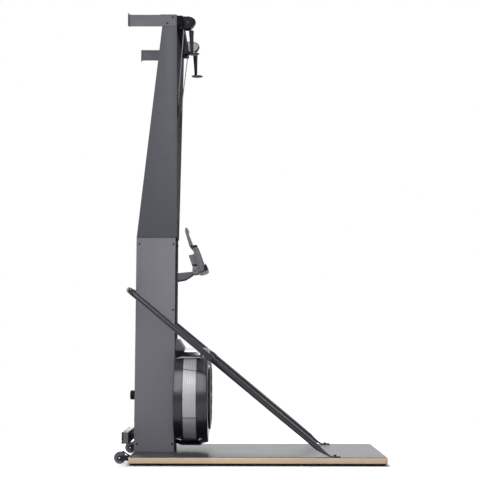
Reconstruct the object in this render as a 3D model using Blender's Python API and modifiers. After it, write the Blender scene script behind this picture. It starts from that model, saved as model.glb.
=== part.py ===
"""Ski ergometer on a floor platform, built from its separate pieces.

Metres, +Z up. The user stands at +X and faces -X, so the user's left is -Y.
Lengths along X are written from the rear edge of the platform and heights
from a level 5 mm over the floor, and one empty moves the whole object so that
its origin is the middle of its footprint, on the floor.
"""

import math

import bmesh
import bpy
from mathutils import Matrix, Vector

FIT_GAP = 0.0003
CUT_MARGIN = 0.010
RING_STEPS = 48
COVER_STEPS = 40
ROUND_STEPS = 24
SMALL_STEPS = 16
BEND_STEPS = 7
CORNER_STEPS = 3
HINGE_STEPS = 6
BRACE_RESOLUTION = 5
CORD_RESOLUTION = 2
SHARP_ANGLE = math.radians(40)
SIDES = (("left", -1), ("right", 1))

# Platform
FLOOR_LEVEL = -0.005
PLATFORM_LENGTH = 1.2115
PLATFORM_WIDTH = 0.600
PLATFORM_CORNER = 0.018
UNDERLAY_THICKNESS = 0.011
UNDERLAY_INSET = 0.008
BOARD_THICKNESS = 0.026
MAT_THICKNESS = 0.0018
MAT_INSET = 0.004

# Transport wheels
WHEEL_RADIUS = 0.0285
WHEEL_WIDTH = 0.024
WHEEL_HUB_RADIUS = 0.014
WHEEL_DISH = 0.004
WHEEL_X = -0.048
WHEEL_INSET = 0.085
WHEEL_AXLE_RADIUS = 0.004
WHEEL_BRACKET_WALL = 0.003
WHEEL_BRACKET_TAB = 0.010
WHEEL_BRACKET_LOW = 0.009
WHEEL_BRACKET_HIGH = 0.031
WHEEL_EAR_RADIUS = 0.011
WHEEL_EAR_ANGLES = (80, 275)

# Column
COLUMN_REAR = 0.002
COLUMN_FRONT = 0.1975
COLUMN_HALF_WIDTH = 0.079
COLUMN_WALL = 0.003
COLUMN_LIP = 0.010
COLUMN_TOP = 1.089
COVER_THICKNESS = 0.003

# Flared shroud
SHROUD_REAR_LOW = 0.002
SHROUD_REAR_HIGH = 0.137
SHROUD_REAR_TOP = 0.127
SHROUD_FRONT_LOW = 0.204
SHROUD_FRONT_HIGH = 0.2095
SHROUD_HALF_LOW = 0.087
SHROUD_HALF_HIGH = 0.280
SHROUD_KNEE = 2.107
SHROUD_CROWN_HEIGHT = 0.0585
SHROUD_WALL = 0.0025
SHROUD_FRONT_RECESS = 0.002
SHROUD_CAP_THICKNESS = 0.003
CORD_SLOT_Y = 0.107
CORD_SLOT_Z = 1.751
CORD_SLOT_WIDTH = 0.034
CORD_SLOT_HEIGHT = 0.124
CORD_SLOT_CORNER = 0.012

# Wall bracket arms
ARM_REAR = -0.028
ARM_FRONT = 0.204
ARM_WALL = 0.003
ARM_FLANGE_REACH = 0.028
ARM_BEND_RADIUS = 0.008
ARM_FLANGE_MARGIN = 0.0015

# Pulley beam, heads and pulleys
BEAM_DEPTH = 0.030
BEAM_RISE = 0.008
BEAM_HEIGHT = 0.0500
BEAM_EDGE = 0.003
HEAD_Y = 0.200
HEAD_WIDTH = 0.034
HEAD_WALL = 0.003
HEAD_OUTLINE = ((-0.039, 0.0325), (0.005, 0.0325), (0.022, 0.0275), (0.034, 0.0195), (0.0405, 0.0065),
                (0.033, -0.009), (0.0225, -0.0225), (0.0095, -0.0305), (-0.0055, -0.0325), (-0.0185, -0.0285))
HEAD_CAVITY = ((-0.035, 0.0295), (0.0045, 0.0295), (0.0205, 0.0248), (0.0315, 0.0175), (0.0372, 0.0065),
               (0.0305, -0.007), (0.0205, -0.019), (0.0205, -0.049), (-0.0255, -0.049), (-0.0255, 0.0065))
PULLEY_X = 0.258
PULLEY_RISE = 0.042
PULLEY_AXLE_RADIUS = 0.004
PULLEY_WIDTH = 0.022
PULLEY_FLANK = 0.002
PULLEY_GROOVE_RADIUS = 0.0155
PULLEY_RIM_RADIUS = 0.0205
AXLE_HEAD_RADIUS = 0.0075
AXLE_HEAD_THICKNESS = 0.0025

# Handles and cords
CORD_RADIUS = 0.0022
HANDLE_DROP = 0.037
HANDLE_LENGTH = 0.115
HANDLE_TOP_RADIUS = 0.0122
HANDLE_NECK_RADIUS = 0.0074
HANDLE_TOP_EDGE = 0.0025
HANDLE_HEAD_LENGTH = 0.009
HANDLE_TAPER_STEPS = 5
HANDLE_TAPER_POWER = 0.8
HANDLE_LEAN = math.radians(2.0)
GUARD_X = 0.285
GUARD_NOSE = 0.003
GUARD_EDGE = 0.0015
GUARD_THICKNESS = 0.006
GUARD_LENGTH = 0.059
GUARD_WIDTH = 0.050
CORD_BEND_X = 0.2046
CORD_BEND_Y = 0.100
CORD_BEND_Z = 1.750
CORD_WRAP_STEPS = 14

# Fan
FAN_CLEARANCE = 0.0248
RING_RADIUS = 0.2345
RING_WALL = 0.003
RING_EDGE = 0.004
REAR_RING_LENGTH = 0.0444
SCREEN_START = 0.239
SCREEN_END = 0.317
SCREEN_WALL = 0.002
FRONT_RING_START = 0.3105
FRONT_RING_END = 0.349
FLANGE_STEP = 0.0025
FLANGE_END = 0.366
FLANGE_CORNER = 0.008
FLANGE_OPENING = 0.120
INTAKE_RADIUS = 0.060
FRONT_COVER_RADIUS = 0.168
FRONT_COVER_DEPTH = 0.011
FRONT_COVER_FLOOR = 0.003
FRONT_COVER_EDGE = 0.008
DIAL_RADIUS = 0.060
DIAL_THICKNESS = 0.0045
DIAL_PIN_RADIUS = 0.006
DIAL_PIN_LENGTH = 0.008
DAMPER_LEVER_LENGTH = 0.096
DAMPER_LEVER_WIDTH = 0.014
ROTOR_GAP = 0.0195
ROTOR_HUB_RADIUS = 0.040
ROTOR_START = 0.240
ROTOR_END = 0.338
ROTOR_BLADES = 20
ROTOR_BLADE_THICKNESS = 0.003
CLIP_REAR = 0.2065
CLIP_FRONT = 0.338
CLIP_REAR_SLOPE = 0.027
CLIP_FRONT_SLOPE = 0.014
CLIP_HEIGHT = 0.0105
CLIP_WALL = 0.0025
CLIP_HALF_WIDTH = 0.020
CLIP_ANGLES = (("top_left", 124), ("top_right", 56))
CRADLE_HALF_ANGLE = math.radians(31.0)
GUSSET_DROP = 0.039
GUSSET_BROW = (0.216, 0.044)
GUSSET_CHIN = (0.246, -0.003)
GUSSET_WALL = 0.003

# Shaft, drums and bearing
SHAFT_RADIUS = 0.010
SHAFT_REAR = -0.020
SHAFT_FRONT = 0.350
BEARING_CAP_RADIUS = 0.023
BEARING_CAP_REAR = -0.027
BEARING_CAP_FRONT = -0.006
BEARING_CAP_EDGE = 0.004
BEARING_NECK_RADIUS = 0.015
BEARING_NECK_END = 0.018
FRONT_BOSS_RADIUS = 0.022
FRONT_BOSS_LENGTH = 0.018
DRUM_CORE_RADIUS = 0.0275
DRUM_RIM_RADIUS = 0.036
DRUM_WIDTH = 0.022
DRUM_RIM_THICKNESS = 0.003
DRUM_X = {"left": 0.058, "right": 0.090}

# Monitor
TILT_X = 0.292
TILT_Z = 0.919
TILT_PIN_RADIUS = 0.004
TILT_PIN_PROUD = 0.004
ARM_FOOT_THICKNESS = 0.003
ARM_FOOT_MARGIN = 0.008
ARM_FORK_DEPTH = 0.015
ARM_FORK_REACH = 0.035
MONITOR_ARM_HALF_WIDTH = 0.022
MONITOR_LUG_HALF_WIDTH = 0.008
MONITOR_ARM_OUTLINE = ((0.203, 0.913), (0.281, 0.921), (0.281, 0.934), (0.303, 0.934), (0.3112, 0.926),
                       (0.3125, 0.917), (0.308, 0.9105), (0.300, 0.9065), (0.284, 0.9035),
                       (0.262, 0.888), (0.244, 0.8775), (0.203, 0.870))
HOUSING_HALF_WIDTH = 0.100
HOUSING_EDGE = 0.003
HOUSING_OUTLINE = ((0.283, 1.033), (0.308, 1.040), (0.341, 0.948), (0.341, 0.920), (0.316, 0.913))
REAR_BOX_HALF_WIDTH = 0.060
REAR_BOX_OUTLINE = ((0.262, 1.000), (0.2897, 1.007), (0.3063, 0.9465), (0.281, 0.946))
SCREEN_SIZE = (0.125, 0.066)
SCREEN_OFFSET = -0.022
SCREEN_THICKNESS = 0.002
SCREEN_CORNER = 0.004
BUTTON_RADIUS = 0.0055
BUTTON_LENGTH = 0.0055
BUTTON_PROUD = 0.0020
BUTTON_EDGE = 0.001
BUTTON_OFFSET = 0.068
BUTTON_PITCH = 0.022
BUTTON_COUNT = 3
BUTTON_TRAVEL = 0.0015
SHELF_HALF_WIDTH = 0.090
SHELF_NOTCH_HALF_WIDTH = 0.025
SHELF_NOTCH_DEPTH = 0.015
SHELF_OUTLINE = ((0.3163, 0.9070), (0.3325, 0.9095), (0.352, 0.916), (0.3595, 0.923), (0.3585, 0.934),
                 (0.3545, 0.946), (0.3505, 0.952), (0.3445, 0.951), (0.3416, 0.944), (0.3416, 0.9190),
                 (0.3163, 0.9122))
PLATE_HINGE_X = 0.279
PLATE_HINGE_Z = 1.043
PLATE_HINGE_RADIUS = 0.0065
PLATE_EAR_ANGLES = (30, 200)
PLATE_PIN_RADIUS = 0.003
PLATE_HALF_WIDTH = 0.060
PLATE_EAR_Y = 0.030
PLATE_EAR_THICKNESS = 0.006
PLATE_EAR_CLEARANCE = 0.0015
PLATE_PIN_END = 0.050
PLATE_OUTLINE = ((0.2735, 1.0395), (0.266, 1.045), (0.2437, 1.118), (0.243, 1.133), (0.248, 1.142),
                 (0.2585, 1.133), (0.2575, 1.118), (0.2845, 1.0465))

# Brace
BRACE_RADIUS = 0.014
BRACE_INSET = 0.030
BRACE_BEND = 0.040
BRACE_SLOPE = math.radians(39.43)
BRACE_POINT_X = 0.2838
BRACE_POINT_Z = 0.573
BRACE_JOINT_X = 0.364
COLLAR_RADIUS = 0.0160
COLLAR_LENGTH = 0.030
FOOT_HALF_WIDTH = 0.020
FOOT_HALF_THICKNESS = 0.0027
FOOT_KNEE_X = 0.888
FOOT_END_X = 0.990
FOOT_BEND_LENGTH = 0.062
FOOT_BEND_REACH = 0.044
FOOT_BEND_STEPS = 4
FOOT_FLATTEN_POWER = 0.8
ROUND_SHARE = 0.7
FLAT_POWER = 0.6

# Rear bumper bar
BUMPER_REAR = -0.050
BUMPER_FRONT = -0.017
BUMPER_LOW = 0.080
BUMPER_HIGH = 0.134
BUMPER_HALF_LENGTH = 0.150
BUMPER_NOTCHES = 3
BUMPER_NOTCH_DEPTH = 0.004
BUMPER_NOTCH_HEIGHT = 0.005
BUMPER_BOSS_HALF_LENGTH = 0.050
BUMPER_BOSS_HEIGHT = 0.025

# Worked out from the sizes above
WHEEL_Y = PLATFORM_WIDTH / 2 - WHEEL_INSET
BRACE_Y = PLATFORM_WIDTH / 2 - BRACE_INSET
SHROUD_TOP = SHROUD_KNEE + SHROUD_CROWN_HEIGHT
BEAM_LOW = SHROUD_KNEE + BEAM_RISE
BEAM_HIGH = BEAM_LOW + BEAM_HEIGHT
PULLEY_Z = SHROUD_KNEE + PULLEY_RISE
HANDLE_TOP = PULLEY_Z - HANDLE_DROP
WHEEL_Z = FLOOR_LEVEL + WHEEL_RADIUS
BOARD_LOW = FLOOR_LEVEL + UNDERLAY_THICKNESS + FIT_GAP
BOARD_HIGH = BOARD_LOW + BOARD_THICKNESS
MAT_LOW = BOARD_HIGH + FIT_GAP
FLOOR_TOP = MAT_LOW + MAT_THICKNESS
FAN_Z = FLOOR_TOP + FAN_CLEARANCE + CLIP_HEIGHT + FIT_GAP + RING_RADIUS
FLANGE_RADIUS = RING_RADIUS - FLANGE_STEP
ROTOR_RADIUS = RING_RADIUS - ROTOR_GAP
RING_CROWN = FAN_Z + RING_RADIUS
GUSSET_LOW = RING_CROWN - GUSSET_DROP
GUSSET_OUTLINE = ((GUSSET_BROW[0], RING_CROWN + GUSSET_BROW[1]),
                  (GUSSET_CHIN[0], RING_CROWN + GUSSET_CHIN[1]), (GUSSET_CHIN[0], GUSSET_LOW))
COVER_REAR = COLUMN_FRONT + FIT_GAP
COVER_FRONT = COVER_REAR + COVER_THICKNESS
FRONT_SEAT = COVER_FRONT + FIT_GAP
FLARE = math.atan2(SHROUD_HALF_HIGH - SHROUD_HALF_LOW, SHROUD_KNEE - COLUMN_TOP)
RING_INNER = RING_RADIUS - RING_WALL
SCREEN_RADIUS = RING_INNER - FIT_GAP
BEAM_REAR = SHROUD_FRONT_HIGH - SHROUD_FRONT_RECESS + FIT_GAP
BEAM_FRONT = BEAM_REAR + BEAM_DEPTH
CORD_OFFSET = PULLEY_GROOVE_RADIUS + FIT_GAP + CORD_RADIUS
CORD_FRONT_X = PULLEY_X + CORD_OFFSET
DRUM_CORD_OFFSET = DRUM_CORE_RADIUS + FIT_GAP + CORD_RADIUS
ORIGIN_X = (WHEEL_X - WHEEL_RADIUS + PLATFORM_LENGTH) / 2

AXIS_FRAMES = {
    "X": Matrix(((0, 0, 1), (1, 0, 0), (0, 1, 0))),
    "Y": Matrix(((1, 0, 0), (0, 0, -1), (0, 1, 0))),
    "Z": Matrix.Identity(3),
}


def clear_scene():
    """Remove what the scene holds."""
    for thing in list(bpy.data.objects):
        bpy.data.objects.remove(thing)


def new_collection(name):
    """Add a collection to the scene."""
    collection = bpy.data.collections.new(name)
    bpy.context.scene.collection.children.link(collection)
    return collection


def finish(name, colour, roughness, metallic=0.0):
    """Make a plain Principled material."""
    made = bpy.data.materials.new(name)
    made.use_nodes = True
    shader = made.node_tree.nodes["Principled BSDF"]
    shader.inputs["Base Color"].default_value = (*colour, 1.0)
    shader.inputs["Roughness"].default_value = roughness
    shader.inputs["Metallic"].default_value = metallic
    return made


def place(name, data, colour):
    """Add a piece, or a cutter where it has no colour, under the shared empty."""
    piece = bpy.data.objects.new(name, data)
    if colour is None:
        cutters.objects.link(piece)
        piece.hide_render = True
        piece.display_type = "WIRE"
    else:
        pieces.objects.link(piece)
        piece.data.materials.append(finish(name, *colour))
    piece.parent = origin
    return piece


def curve_mesh(curve):
    """Turn a curve into a welded mesh and remove the curve."""
    holder = bpy.data.objects.new("curve", curve)
    bpy.context.scene.collection.objects.link(holder)
    evaluated = holder.evaluated_get(bpy.context.evaluated_depsgraph_get())
    mesh = bpy.data.meshes.new_from_object(evaluated)
    bpy.data.objects.remove(holder)
    shape = bmesh.new()
    shape.from_mesh(mesh)
    bmesh.ops.remove_doubles(shape, verts=shape.verts, dist=0.00001)
    shape.to_mesh(mesh)
    shape.free()
    mesh.materials.clear()
    return mesh


def plate(name, outline, low, high, axis, colour, holes=(), pivot=(0, 0, 0)):
    """Extrude a flat outline along an axis, with its origin at the pivot.

    The outline is (y, z) along X, (x, z) along Y and (x, y) along Z.
    """
    curve = bpy.data.curves.new(name, "CURVE")
    curve.dimensions = "2D"
    curve.fill_mode = "BOTH"
    curve.extrude = (high - low) / 2
    for points in (outline, *holes):
        spline = curve.splines.new("POLY")
        spline.points.add(len(points) - 1)
        for point, (across, up) in zip(spline.points, points):
            point.co = (across, up, 0, 1)
        spline.use_cyclic_u = True
    mesh = curve_mesh(curve)
    frame = AXIS_FRAMES[axis]
    middle = Vector([(low + high) / 2 if letter == axis else 0 for letter in "XYZ"])
    mesh.transform(Matrix.Translation(middle - Vector(pivot)) @ frame.to_4x4())
    piece = place(name, mesh, colour)
    piece.location = pivot
    return piece


def box(name, low, high, colour=None):
    """Make a box from two corners."""
    outline = ((low[0], low[1]), (high[0], low[1]), (high[0], high[1]), (low[0], high[1]))
    return plate(name, outline, low[2], high[2], "Z", colour)


def turned(name, profile, centre, axis, colour, steps=32, closed=True):
    """Turn a profile of (radius, height) points about an axis through the centre.

    The profile runs down its outer side, from the greatest height to the least.
    """
    mesh = bpy.data.meshes.new(name)
    points = [(radius, 0, height) for radius, height in profile]
    edges = [(index, index + 1) for index in range(len(points) - 1)]
    if closed:
        edges.append((len(points) - 1, 0))
    mesh.from_pydata(points, edges, [])
    piece = place(name, mesh, colour)
    piece.location = centre
    piece.rotation_euler = AXIS_FRAMES[axis].to_euler()
    screw = piece.modifiers.new("turn", "SCREW")
    screw.axis = "Z"
    screw.steps = steps
    screw.render_steps = steps
    screw.use_merge_vertices = True
    screw.merge_threshold = 0.00005
    return piece


def disc(name, radius, low, high, centre, axis, colour, steps=32):
    """Make a plain round bar between two heights along its axis."""
    profile = ((0, high), (radius, high), (radius, low), (0, low))
    return turned(name, profile, centre, axis, colour, steps, closed=False)


def tube(name, points, radius, colour, resolution, pivot=(0, 0, 0)):
    """Sweep a round section along points."""
    curve = bpy.data.curves.new(name, "CURVE")
    curve.dimensions = "3D"
    curve.bevel_depth = radius
    curve.bevel_resolution = resolution
    curve.use_fill_caps = True
    spline = curve.splines.new("POLY")
    spline.points.add(len(points) - 1)
    for point, place_at in zip(spline.points, points):
        point.co = (*(Vector(place_at) - Vector(pivot)), 1)
    piece = place(name, curve_mesh(curve), colour)
    piece.location = pivot
    return piece


def boolean(piece, operand, operation):
    """Add a Boolean modifier."""
    modifier = piece.modifiers.new(operation.lower(), "BOOLEAN")
    modifier.operation = operation
    modifier.object = operand
    modifier.solver = "EXACT"


def bevel(piece, width, segments=2):
    """Round the sharp edges of a piece."""
    modifier = piece.modifiers.new("round", "BEVEL")
    modifier.width = width
    modifier.segments = segments
    modifier.limit_method = "ANGLE"
    modifier.angle_limit = SHARP_ANGLE


def arc(centre, radius, start, end, steps):
    """Give points on an arc, with its angles in degrees."""
    turn = [math.radians(start + (end - start) * step / steps) for step in range(steps + 1)]
    return [(centre[0] + radius * math.cos(a), centre[1] + radius * math.sin(a)) for a in turn]


def rounded_rectangle(low, high, radius, steps=5):
    """Give a rectangle's outline with round corners."""
    corners = ((high[0], high[1], 0), (low[0], high[1], 90), (low[0], low[1], 180),
               (high[0], low[1], 270))
    points = []
    for x, y, start in corners:
        centre = (x + (radius if x == low[0] else -radius), y + (radius if y == low[1] else -radius))
        points += arc(centre, radius, start, start + 90, steps)
    return points


def mirrored(outline, sign):
    """Flip an outline's first coordinate for the left side."""
    return [(across * sign, up) for across, up in outline]


def span(sign, inner, outer):
    """Give the low and high ends of a stretch along Y on one side."""
    return min(sign * inner, sign * outer), max(sign * inner, sign * outer)


# Colour, roughness and metallic share of each material
WOOD = ((0.70, 0.50, 0.33), 0.55)
MAT_GREY = ((0.34, 0.35, 0.36), 0.8)
DARK_RUBBER = ((0.03, 0.03, 0.03), 0.85)
BLACK_PLASTIC = ((0.02, 0.02, 0.025), 0.5)
PAINT_GREY = ((0.16, 0.16, 0.18), 0.5, 0.3)
PAINT_DARK = ((0.03, 0.03, 0.035), 0.5, 0.2)
STEEL = ((0.55, 0.55, 0.57), 0.35, 1.0)
SILVER = ((0.50, 0.50, 0.52), 0.4, 0.8)
CORD_GREY = ((0.60, 0.60, 0.60), 0.7)
GLASS = ((0.10, 0.12, 0.12), 0.15)


def platform_layer(name, low, thickness, inset, colour):
    """Make one layer of the platform."""
    half = PLATFORM_WIDTH / 2 - inset
    outline = rounded_rectangle((inset, -half), (PLATFORM_LENGTH - inset, half), PLATFORM_CORNER)
    plate(name, outline, low, low + thickness, "Z", colour)


def build_platform():
    """Lay the underlay, the board and the top covering."""
    platform_layer("platform_underlay", FLOOR_LEVEL, UNDERLAY_THICKNESS, UNDERLAY_INSET, DARK_RUBBER)
    platform_layer("platform_board", BOARD_LOW, BOARD_THICKNESS, 0, WOOD)
    platform_layer("platform_mat", MAT_LOW, MAT_THICKNESS, MAT_INSET, MAT_GREY)


def build_wheel(side, sign):
    """Make one transport wheel, its axle and its bracket on the board's rear edge."""
    centre_y = sign * WHEEL_Y
    hub = (WHEEL_X, centre_y, WHEEL_Z)
    half = WHEEL_WIDTH / 2
    bore = WHEEL_AXLE_RADIUS + FIT_GAP
    tread = half - WHEEL_DISH
    profile = [(bore, half), (WHEEL_HUB_RADIUS, half), (WHEEL_HUB_RADIUS, tread),
               (WHEEL_RADIUS - WHEEL_DISH, tread), (WHEEL_RADIUS, tread / 2), (WHEEL_RADIUS, -tread / 2),
               (WHEEL_RADIUS - WHEEL_DISH, -tread), (WHEEL_HUB_RADIUS, -tread), (WHEEL_HUB_RADIUS, -half),
               (bore, -half)]
    turned(f"transport_wheel_{side}", profile, hub, "Y", BLACK_PLASTIC, ROUND_STEPS)

    inner = half + 2 * FIT_GAP
    outer = inner + WHEEL_BRACKET_WALL
    rear_face = -FIT_GAP - WHEEL_BRACKET_WALL
    back = box(f"wheel_bracket_{side}", (rear_face, centre_y - outer - WHEEL_BRACKET_TAB, WHEEL_BRACKET_LOW),
               (-FIT_GAP, centre_y + outer + WHEEL_BRACKET_TAB, WHEEL_BRACKET_HIGH), STEEL)
    root = rear_face + WHEEL_BRACKET_WALL / 2
    ear_outline = [(root, WHEEL_BRACKET_LOW + FIT_GAP), (root, WHEEL_BRACKET_HIGH - FIT_GAP)]
    ear_outline += arc((WHEEL_X, WHEEL_Z), WHEEL_EAR_RADIUS, *WHEEL_EAR_ANGLES, BEND_STEPS)
    for number, (low, high) in enumerate(((-outer, -inner), (inner, outer))):
        ear = plate(f"wheel_ear_{side}_{number}", ear_outline, centre_y + low, centre_y + high, "Y", None)
        boolean(back, ear, "UNION")
    drill = disc(f"wheel_drill_{side}", bore, -outer - CUT_MARGIN, outer + CUT_MARGIN, hub, "Y", None)
    boolean(back, drill, "DIFFERENCE")

    end = outer + FIT_GAP
    head = end + AXLE_HEAD_THICKNESS
    axle = [(0, head), (AXLE_HEAD_RADIUS, head), (AXLE_HEAD_RADIUS, end), (WHEEL_AXLE_RADIUS, end),
            (WHEEL_AXLE_RADIUS, -end), (AXLE_HEAD_RADIUS, -end), (AXLE_HEAD_RADIUS, -head), (0, -head)]
    turned(f"wheel_axle_{side}", axle, hub, "Y", STEEL, SMALL_STEPS, closed=False)


# Column and the pieces on it

def build_column():
    """Fold the lower post and put its front cover on."""
    half = COLUMN_HALF_WIDTH
    inner = half - COLUMN_WALL
    lip = inner - COLUMN_LIP
    channel = [(COLUMN_REAR, -half), (COLUMN_FRONT, -half), (COLUMN_FRONT, -lip),
               (COLUMN_FRONT - COLUMN_WALL, -lip), (COLUMN_FRONT - COLUMN_WALL, -inner),
               (COLUMN_REAR + COLUMN_WALL, -inner), (COLUMN_REAR + COLUMN_WALL, inner),
               (COLUMN_FRONT - COLUMN_WALL, inner), (COLUMN_FRONT - COLUMN_WALL, lip),
               (COLUMN_FRONT, lip), (COLUMN_FRONT, half), (COLUMN_REAR, half)]
    post = plate("column_post", channel, FLOOR_TOP + FIT_GAP, COLUMN_TOP, "Z", PAINT_GREY)
    shaft_centre = (0, 0, FAN_Z)
    neck_drill = disc("neck_drill", BEARING_NECK_RADIUS + FIT_GAP, COLUMN_REAR - CUT_MARGIN,
                      COLUMN_REAR + CUT_MARGIN, shaft_centre, "X", None)
    boolean(post, neck_drill, "DIFFERENCE")

    foot = FLOOR_TOP + FIT_GAP
    outline = ((-half, foot), (half, foot), (half, COLUMN_TOP), (-half, COLUMN_TOP))
    cover = plate("column_front_cover", outline, COVER_REAR, COVER_FRONT, "X", PAINT_DARK)
    boss_end = COVER_REAR - FRONT_BOSS_LENGTH
    boss = disc("front_boss", FRONT_BOSS_RADIUS, boss_end, COVER_REAR + COVER_THICKNESS / 2, shaft_centre,
                "X", None)
    boolean(cover, boss, "UNION")
    shaft_drill = disc("shaft_drill", SHAFT_RADIUS + FIT_GAP, boss_end - CUT_MARGIN, COVER_FRONT + CUT_MARGIN,
                       shaft_centre, "X", None, ROUND_STEPS)
    boolean(cover, shaft_drill, "DIFFERENCE")


def build_bumper():
    """Make the ribbed bar across the column's rear."""
    height = BUMPER_HIGH - BUMPER_LOW
    outline = [(BUMPER_REAR, BUMPER_LOW), (BUMPER_FRONT, BUMPER_LOW), (BUMPER_FRONT, BUMPER_HIGH),
               (BUMPER_REAR, BUMPER_HIGH)]
    pitch = height / (BUMPER_NOTCHES + 1)
    for number in range(BUMPER_NOTCHES, 0, -1):
        middle = BUMPER_LOW + pitch * number
        half = BUMPER_NOTCH_HEIGHT / 2
        outline += [(BUMPER_REAR, middle + half), (BUMPER_REAR + BUMPER_NOTCH_DEPTH, middle + half),
                    (BUMPER_REAR + BUMPER_NOTCH_DEPTH, middle - half), (BUMPER_REAR, middle - half)]
    bar = plate("rear_bumper_bar", outline, -BUMPER_HALF_LENGTH, BUMPER_HALF_LENGTH, "Y", DARK_RUBBER)
    low = (BUMPER_LOW + BUMPER_HIGH - BUMPER_BOSS_HEIGHT) / 2
    reach = BUMPER_BOSS_HALF_LENGTH
    boss = box("bumper_boss", (BUMPER_FRONT - BUMPER_NOTCH_DEPTH, -reach, low),
               (COLUMN_REAR - FIT_GAP, reach, low + BUMPER_BOSS_HEIGHT))
    boolean(bar, boss, "UNION")


# Flared shroud

def build_shroud():
    """Fold the sides, and fit the rear panel, front panel and cap between them."""
    low_z = COLUMN_TOP + FIT_GAP
    under, over = low_z - CUT_MARGIN, SHROUD_TOP + CUT_MARGIN
    behind, before = SHROUD_REAR_LOW - CUT_MARGIN, SHROUD_FRONT_HIGH + CUT_MARGIN
    wall = SHROUD_WALL / math.cos(FLARE)
    for side, sign in SIDES:
        strip = ((SHROUD_HALF_LOW, low_z), (SHROUD_HALF_HIGH, SHROUD_KNEE), (SHROUD_HALF_HIGH, SHROUD_TOP),
                 (SHROUD_HALF_HIGH - SHROUD_WALL, SHROUD_TOP), (SHROUD_HALF_HIGH - SHROUD_WALL, SHROUD_KNEE),
                 (SHROUD_HALF_LOW - wall, low_z))
        panel = plate(f"shroud_side_{side}", mirrored(strip, sign), behind, before, "X", PAINT_GREY)
        trim = ((SHROUD_REAR_LOW, under), (SHROUD_FRONT_LOW, under),
                (SHROUD_FRONT_HIGH, SHROUD_KNEE), (SHROUD_FRONT_HIGH, over),
                (SHROUD_REAR_TOP, over), (SHROUD_REAR_HIGH, SHROUD_KNEE))
        low, high = span(sign, CUT_MARGIN, SHROUD_HALF_HIGH + CUT_MARGIN)
        boolean(panel, plate(f"side_trim_{side}", trim, low, high, "Y", None), "INTERSECT")

    inside_low = SHROUD_HALF_LOW - wall - 2 * FIT_GAP
    inside_high = SHROUD_HALF_HIGH - SHROUD_WALL - 2 * FIT_GAP
    front_view = ((-inside_low, low_z), (inside_low, low_z), (inside_high, SHROUD_KNEE),
                  (inside_high, SHROUD_TOP), (-inside_high, SHROUD_TOP), (-inside_high, SHROUD_KNEE))
    trim = plate("panel_trim", front_view, behind, before, "X", None)

    rear_strip = ((SHROUD_REAR_LOW, under), (SHROUD_REAR_HIGH, SHROUD_KNEE), (SHROUD_REAR_TOP, over),
                  (SHROUD_REAR_TOP + SHROUD_WALL, over), (SHROUD_REAR_HIGH + SHROUD_WALL, SHROUD_KNEE),
                  (SHROUD_REAR_LOW + SHROUD_WALL, under))
    rear = plate("shroud_rear_panel", rear_strip, -SHROUD_HALF_HIGH, SHROUD_HALF_HIGH, "Y", PAINT_GREY)
    boolean(rear, trim, "INTERSECT")

    face_low = SHROUD_FRONT_LOW - SHROUD_FRONT_RECESS
    face_high = SHROUD_FRONT_HIGH - SHROUD_FRONT_RECESS
    front_strip = ((face_low, under), (face_high, SHROUD_KNEE), (face_high, over),
                   (face_high - SHROUD_WALL, over), (face_high - SHROUD_WALL, SHROUD_KNEE),
                   (face_low - SHROUD_WALL, under))
    front = plate("shroud_front_panel", front_strip, -SHROUD_HALF_HIGH, SHROUD_HALF_HIGH, "Y", PAINT_DARK)
    boolean(front, trim, "INTERSECT")
    for side, sign in SIDES:
        low, high = span(sign, CORD_SLOT_Y - CORD_SLOT_WIDTH / 2, CORD_SLOT_Y + CORD_SLOT_WIDTH / 2)
        foot, crown = CORD_SLOT_Z - CORD_SLOT_HEIGHT / 2, CORD_SLOT_Z + CORD_SLOT_HEIGHT / 2
        slot = rounded_rectangle((low, foot), (high, crown), CORD_SLOT_CORNER)
        cutter = plate(f"cord_slot_{side}", slot, face_low - CUT_MARGIN, face_high + CUT_MARGIN, "X", None)
        boolean(front, cutter, "DIFFERENCE")

    cap_low = SHROUD_TOP + FIT_GAP
    box("shroud_top_cap", (SHROUD_REAR_TOP, -SHROUD_HALF_HIGH, cap_low),
        (BEAM_REAR - FIT_GAP, SHROUD_HALF_HIGH, cap_low + SHROUD_CAP_THICKNESS), BLACK_PLASTIC)


def build_wall_brackets():
    """Fold the two arms whose rear flanges meet a wall."""
    inner = SHROUD_HALF_HIGH + FIT_GAP
    outer = inner + ARM_WALL
    bend = ARM_BEND_RADIUS
    for side, sign in SIDES:
        plan = [(ARM_FRONT, inner), (ARM_FRONT, outer)]
        plan += arc((ARM_REAR + ARM_WALL + bend, outer + bend), bend, 270, 180, 4)
        plan += [(ARM_REAR + ARM_WALL, inner + ARM_FLANGE_REACH), (ARM_REAR, inner + ARM_FLANGE_REACH)]
        plan += arc((ARM_REAR + ARM_WALL + bend, outer + bend), bend + ARM_WALL, 180, 270, 4)
        plan = [(x, y * sign) for x, y in plan]
        low = SHROUD_KNEE - ARM_FLANGE_MARGIN
        high = SHROUD_TOP + ARM_FLANGE_MARGIN
        arm = plate(f"wall_bracket_{side}", plan, low, high, "Z", PAINT_GREY)
        waist = ARM_REAR + ARM_WALL + bend + FIT_GAP
        rear, front = ARM_REAR - CUT_MARGIN, ARM_FRONT + CUT_MARGIN
        under, over = low - CUT_MARGIN, high + CUT_MARGIN
        trim = [(rear, under), (waist, under), (waist, SHROUD_KNEE), (front, SHROUD_KNEE),
                (front, SHROUD_TOP), (waist, SHROUD_TOP), (waist, over), (rear, over)]
        ends = span(sign, inner - CUT_MARGIN, inner + ARM_FLANGE_REACH + CUT_MARGIN)
        boolean(arm, plate(f"arm_trim_{side}", trim, *ends, "Y", None), "INTERSECT")


# Pulley beam, heads, pulleys, cords and handles

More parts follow.
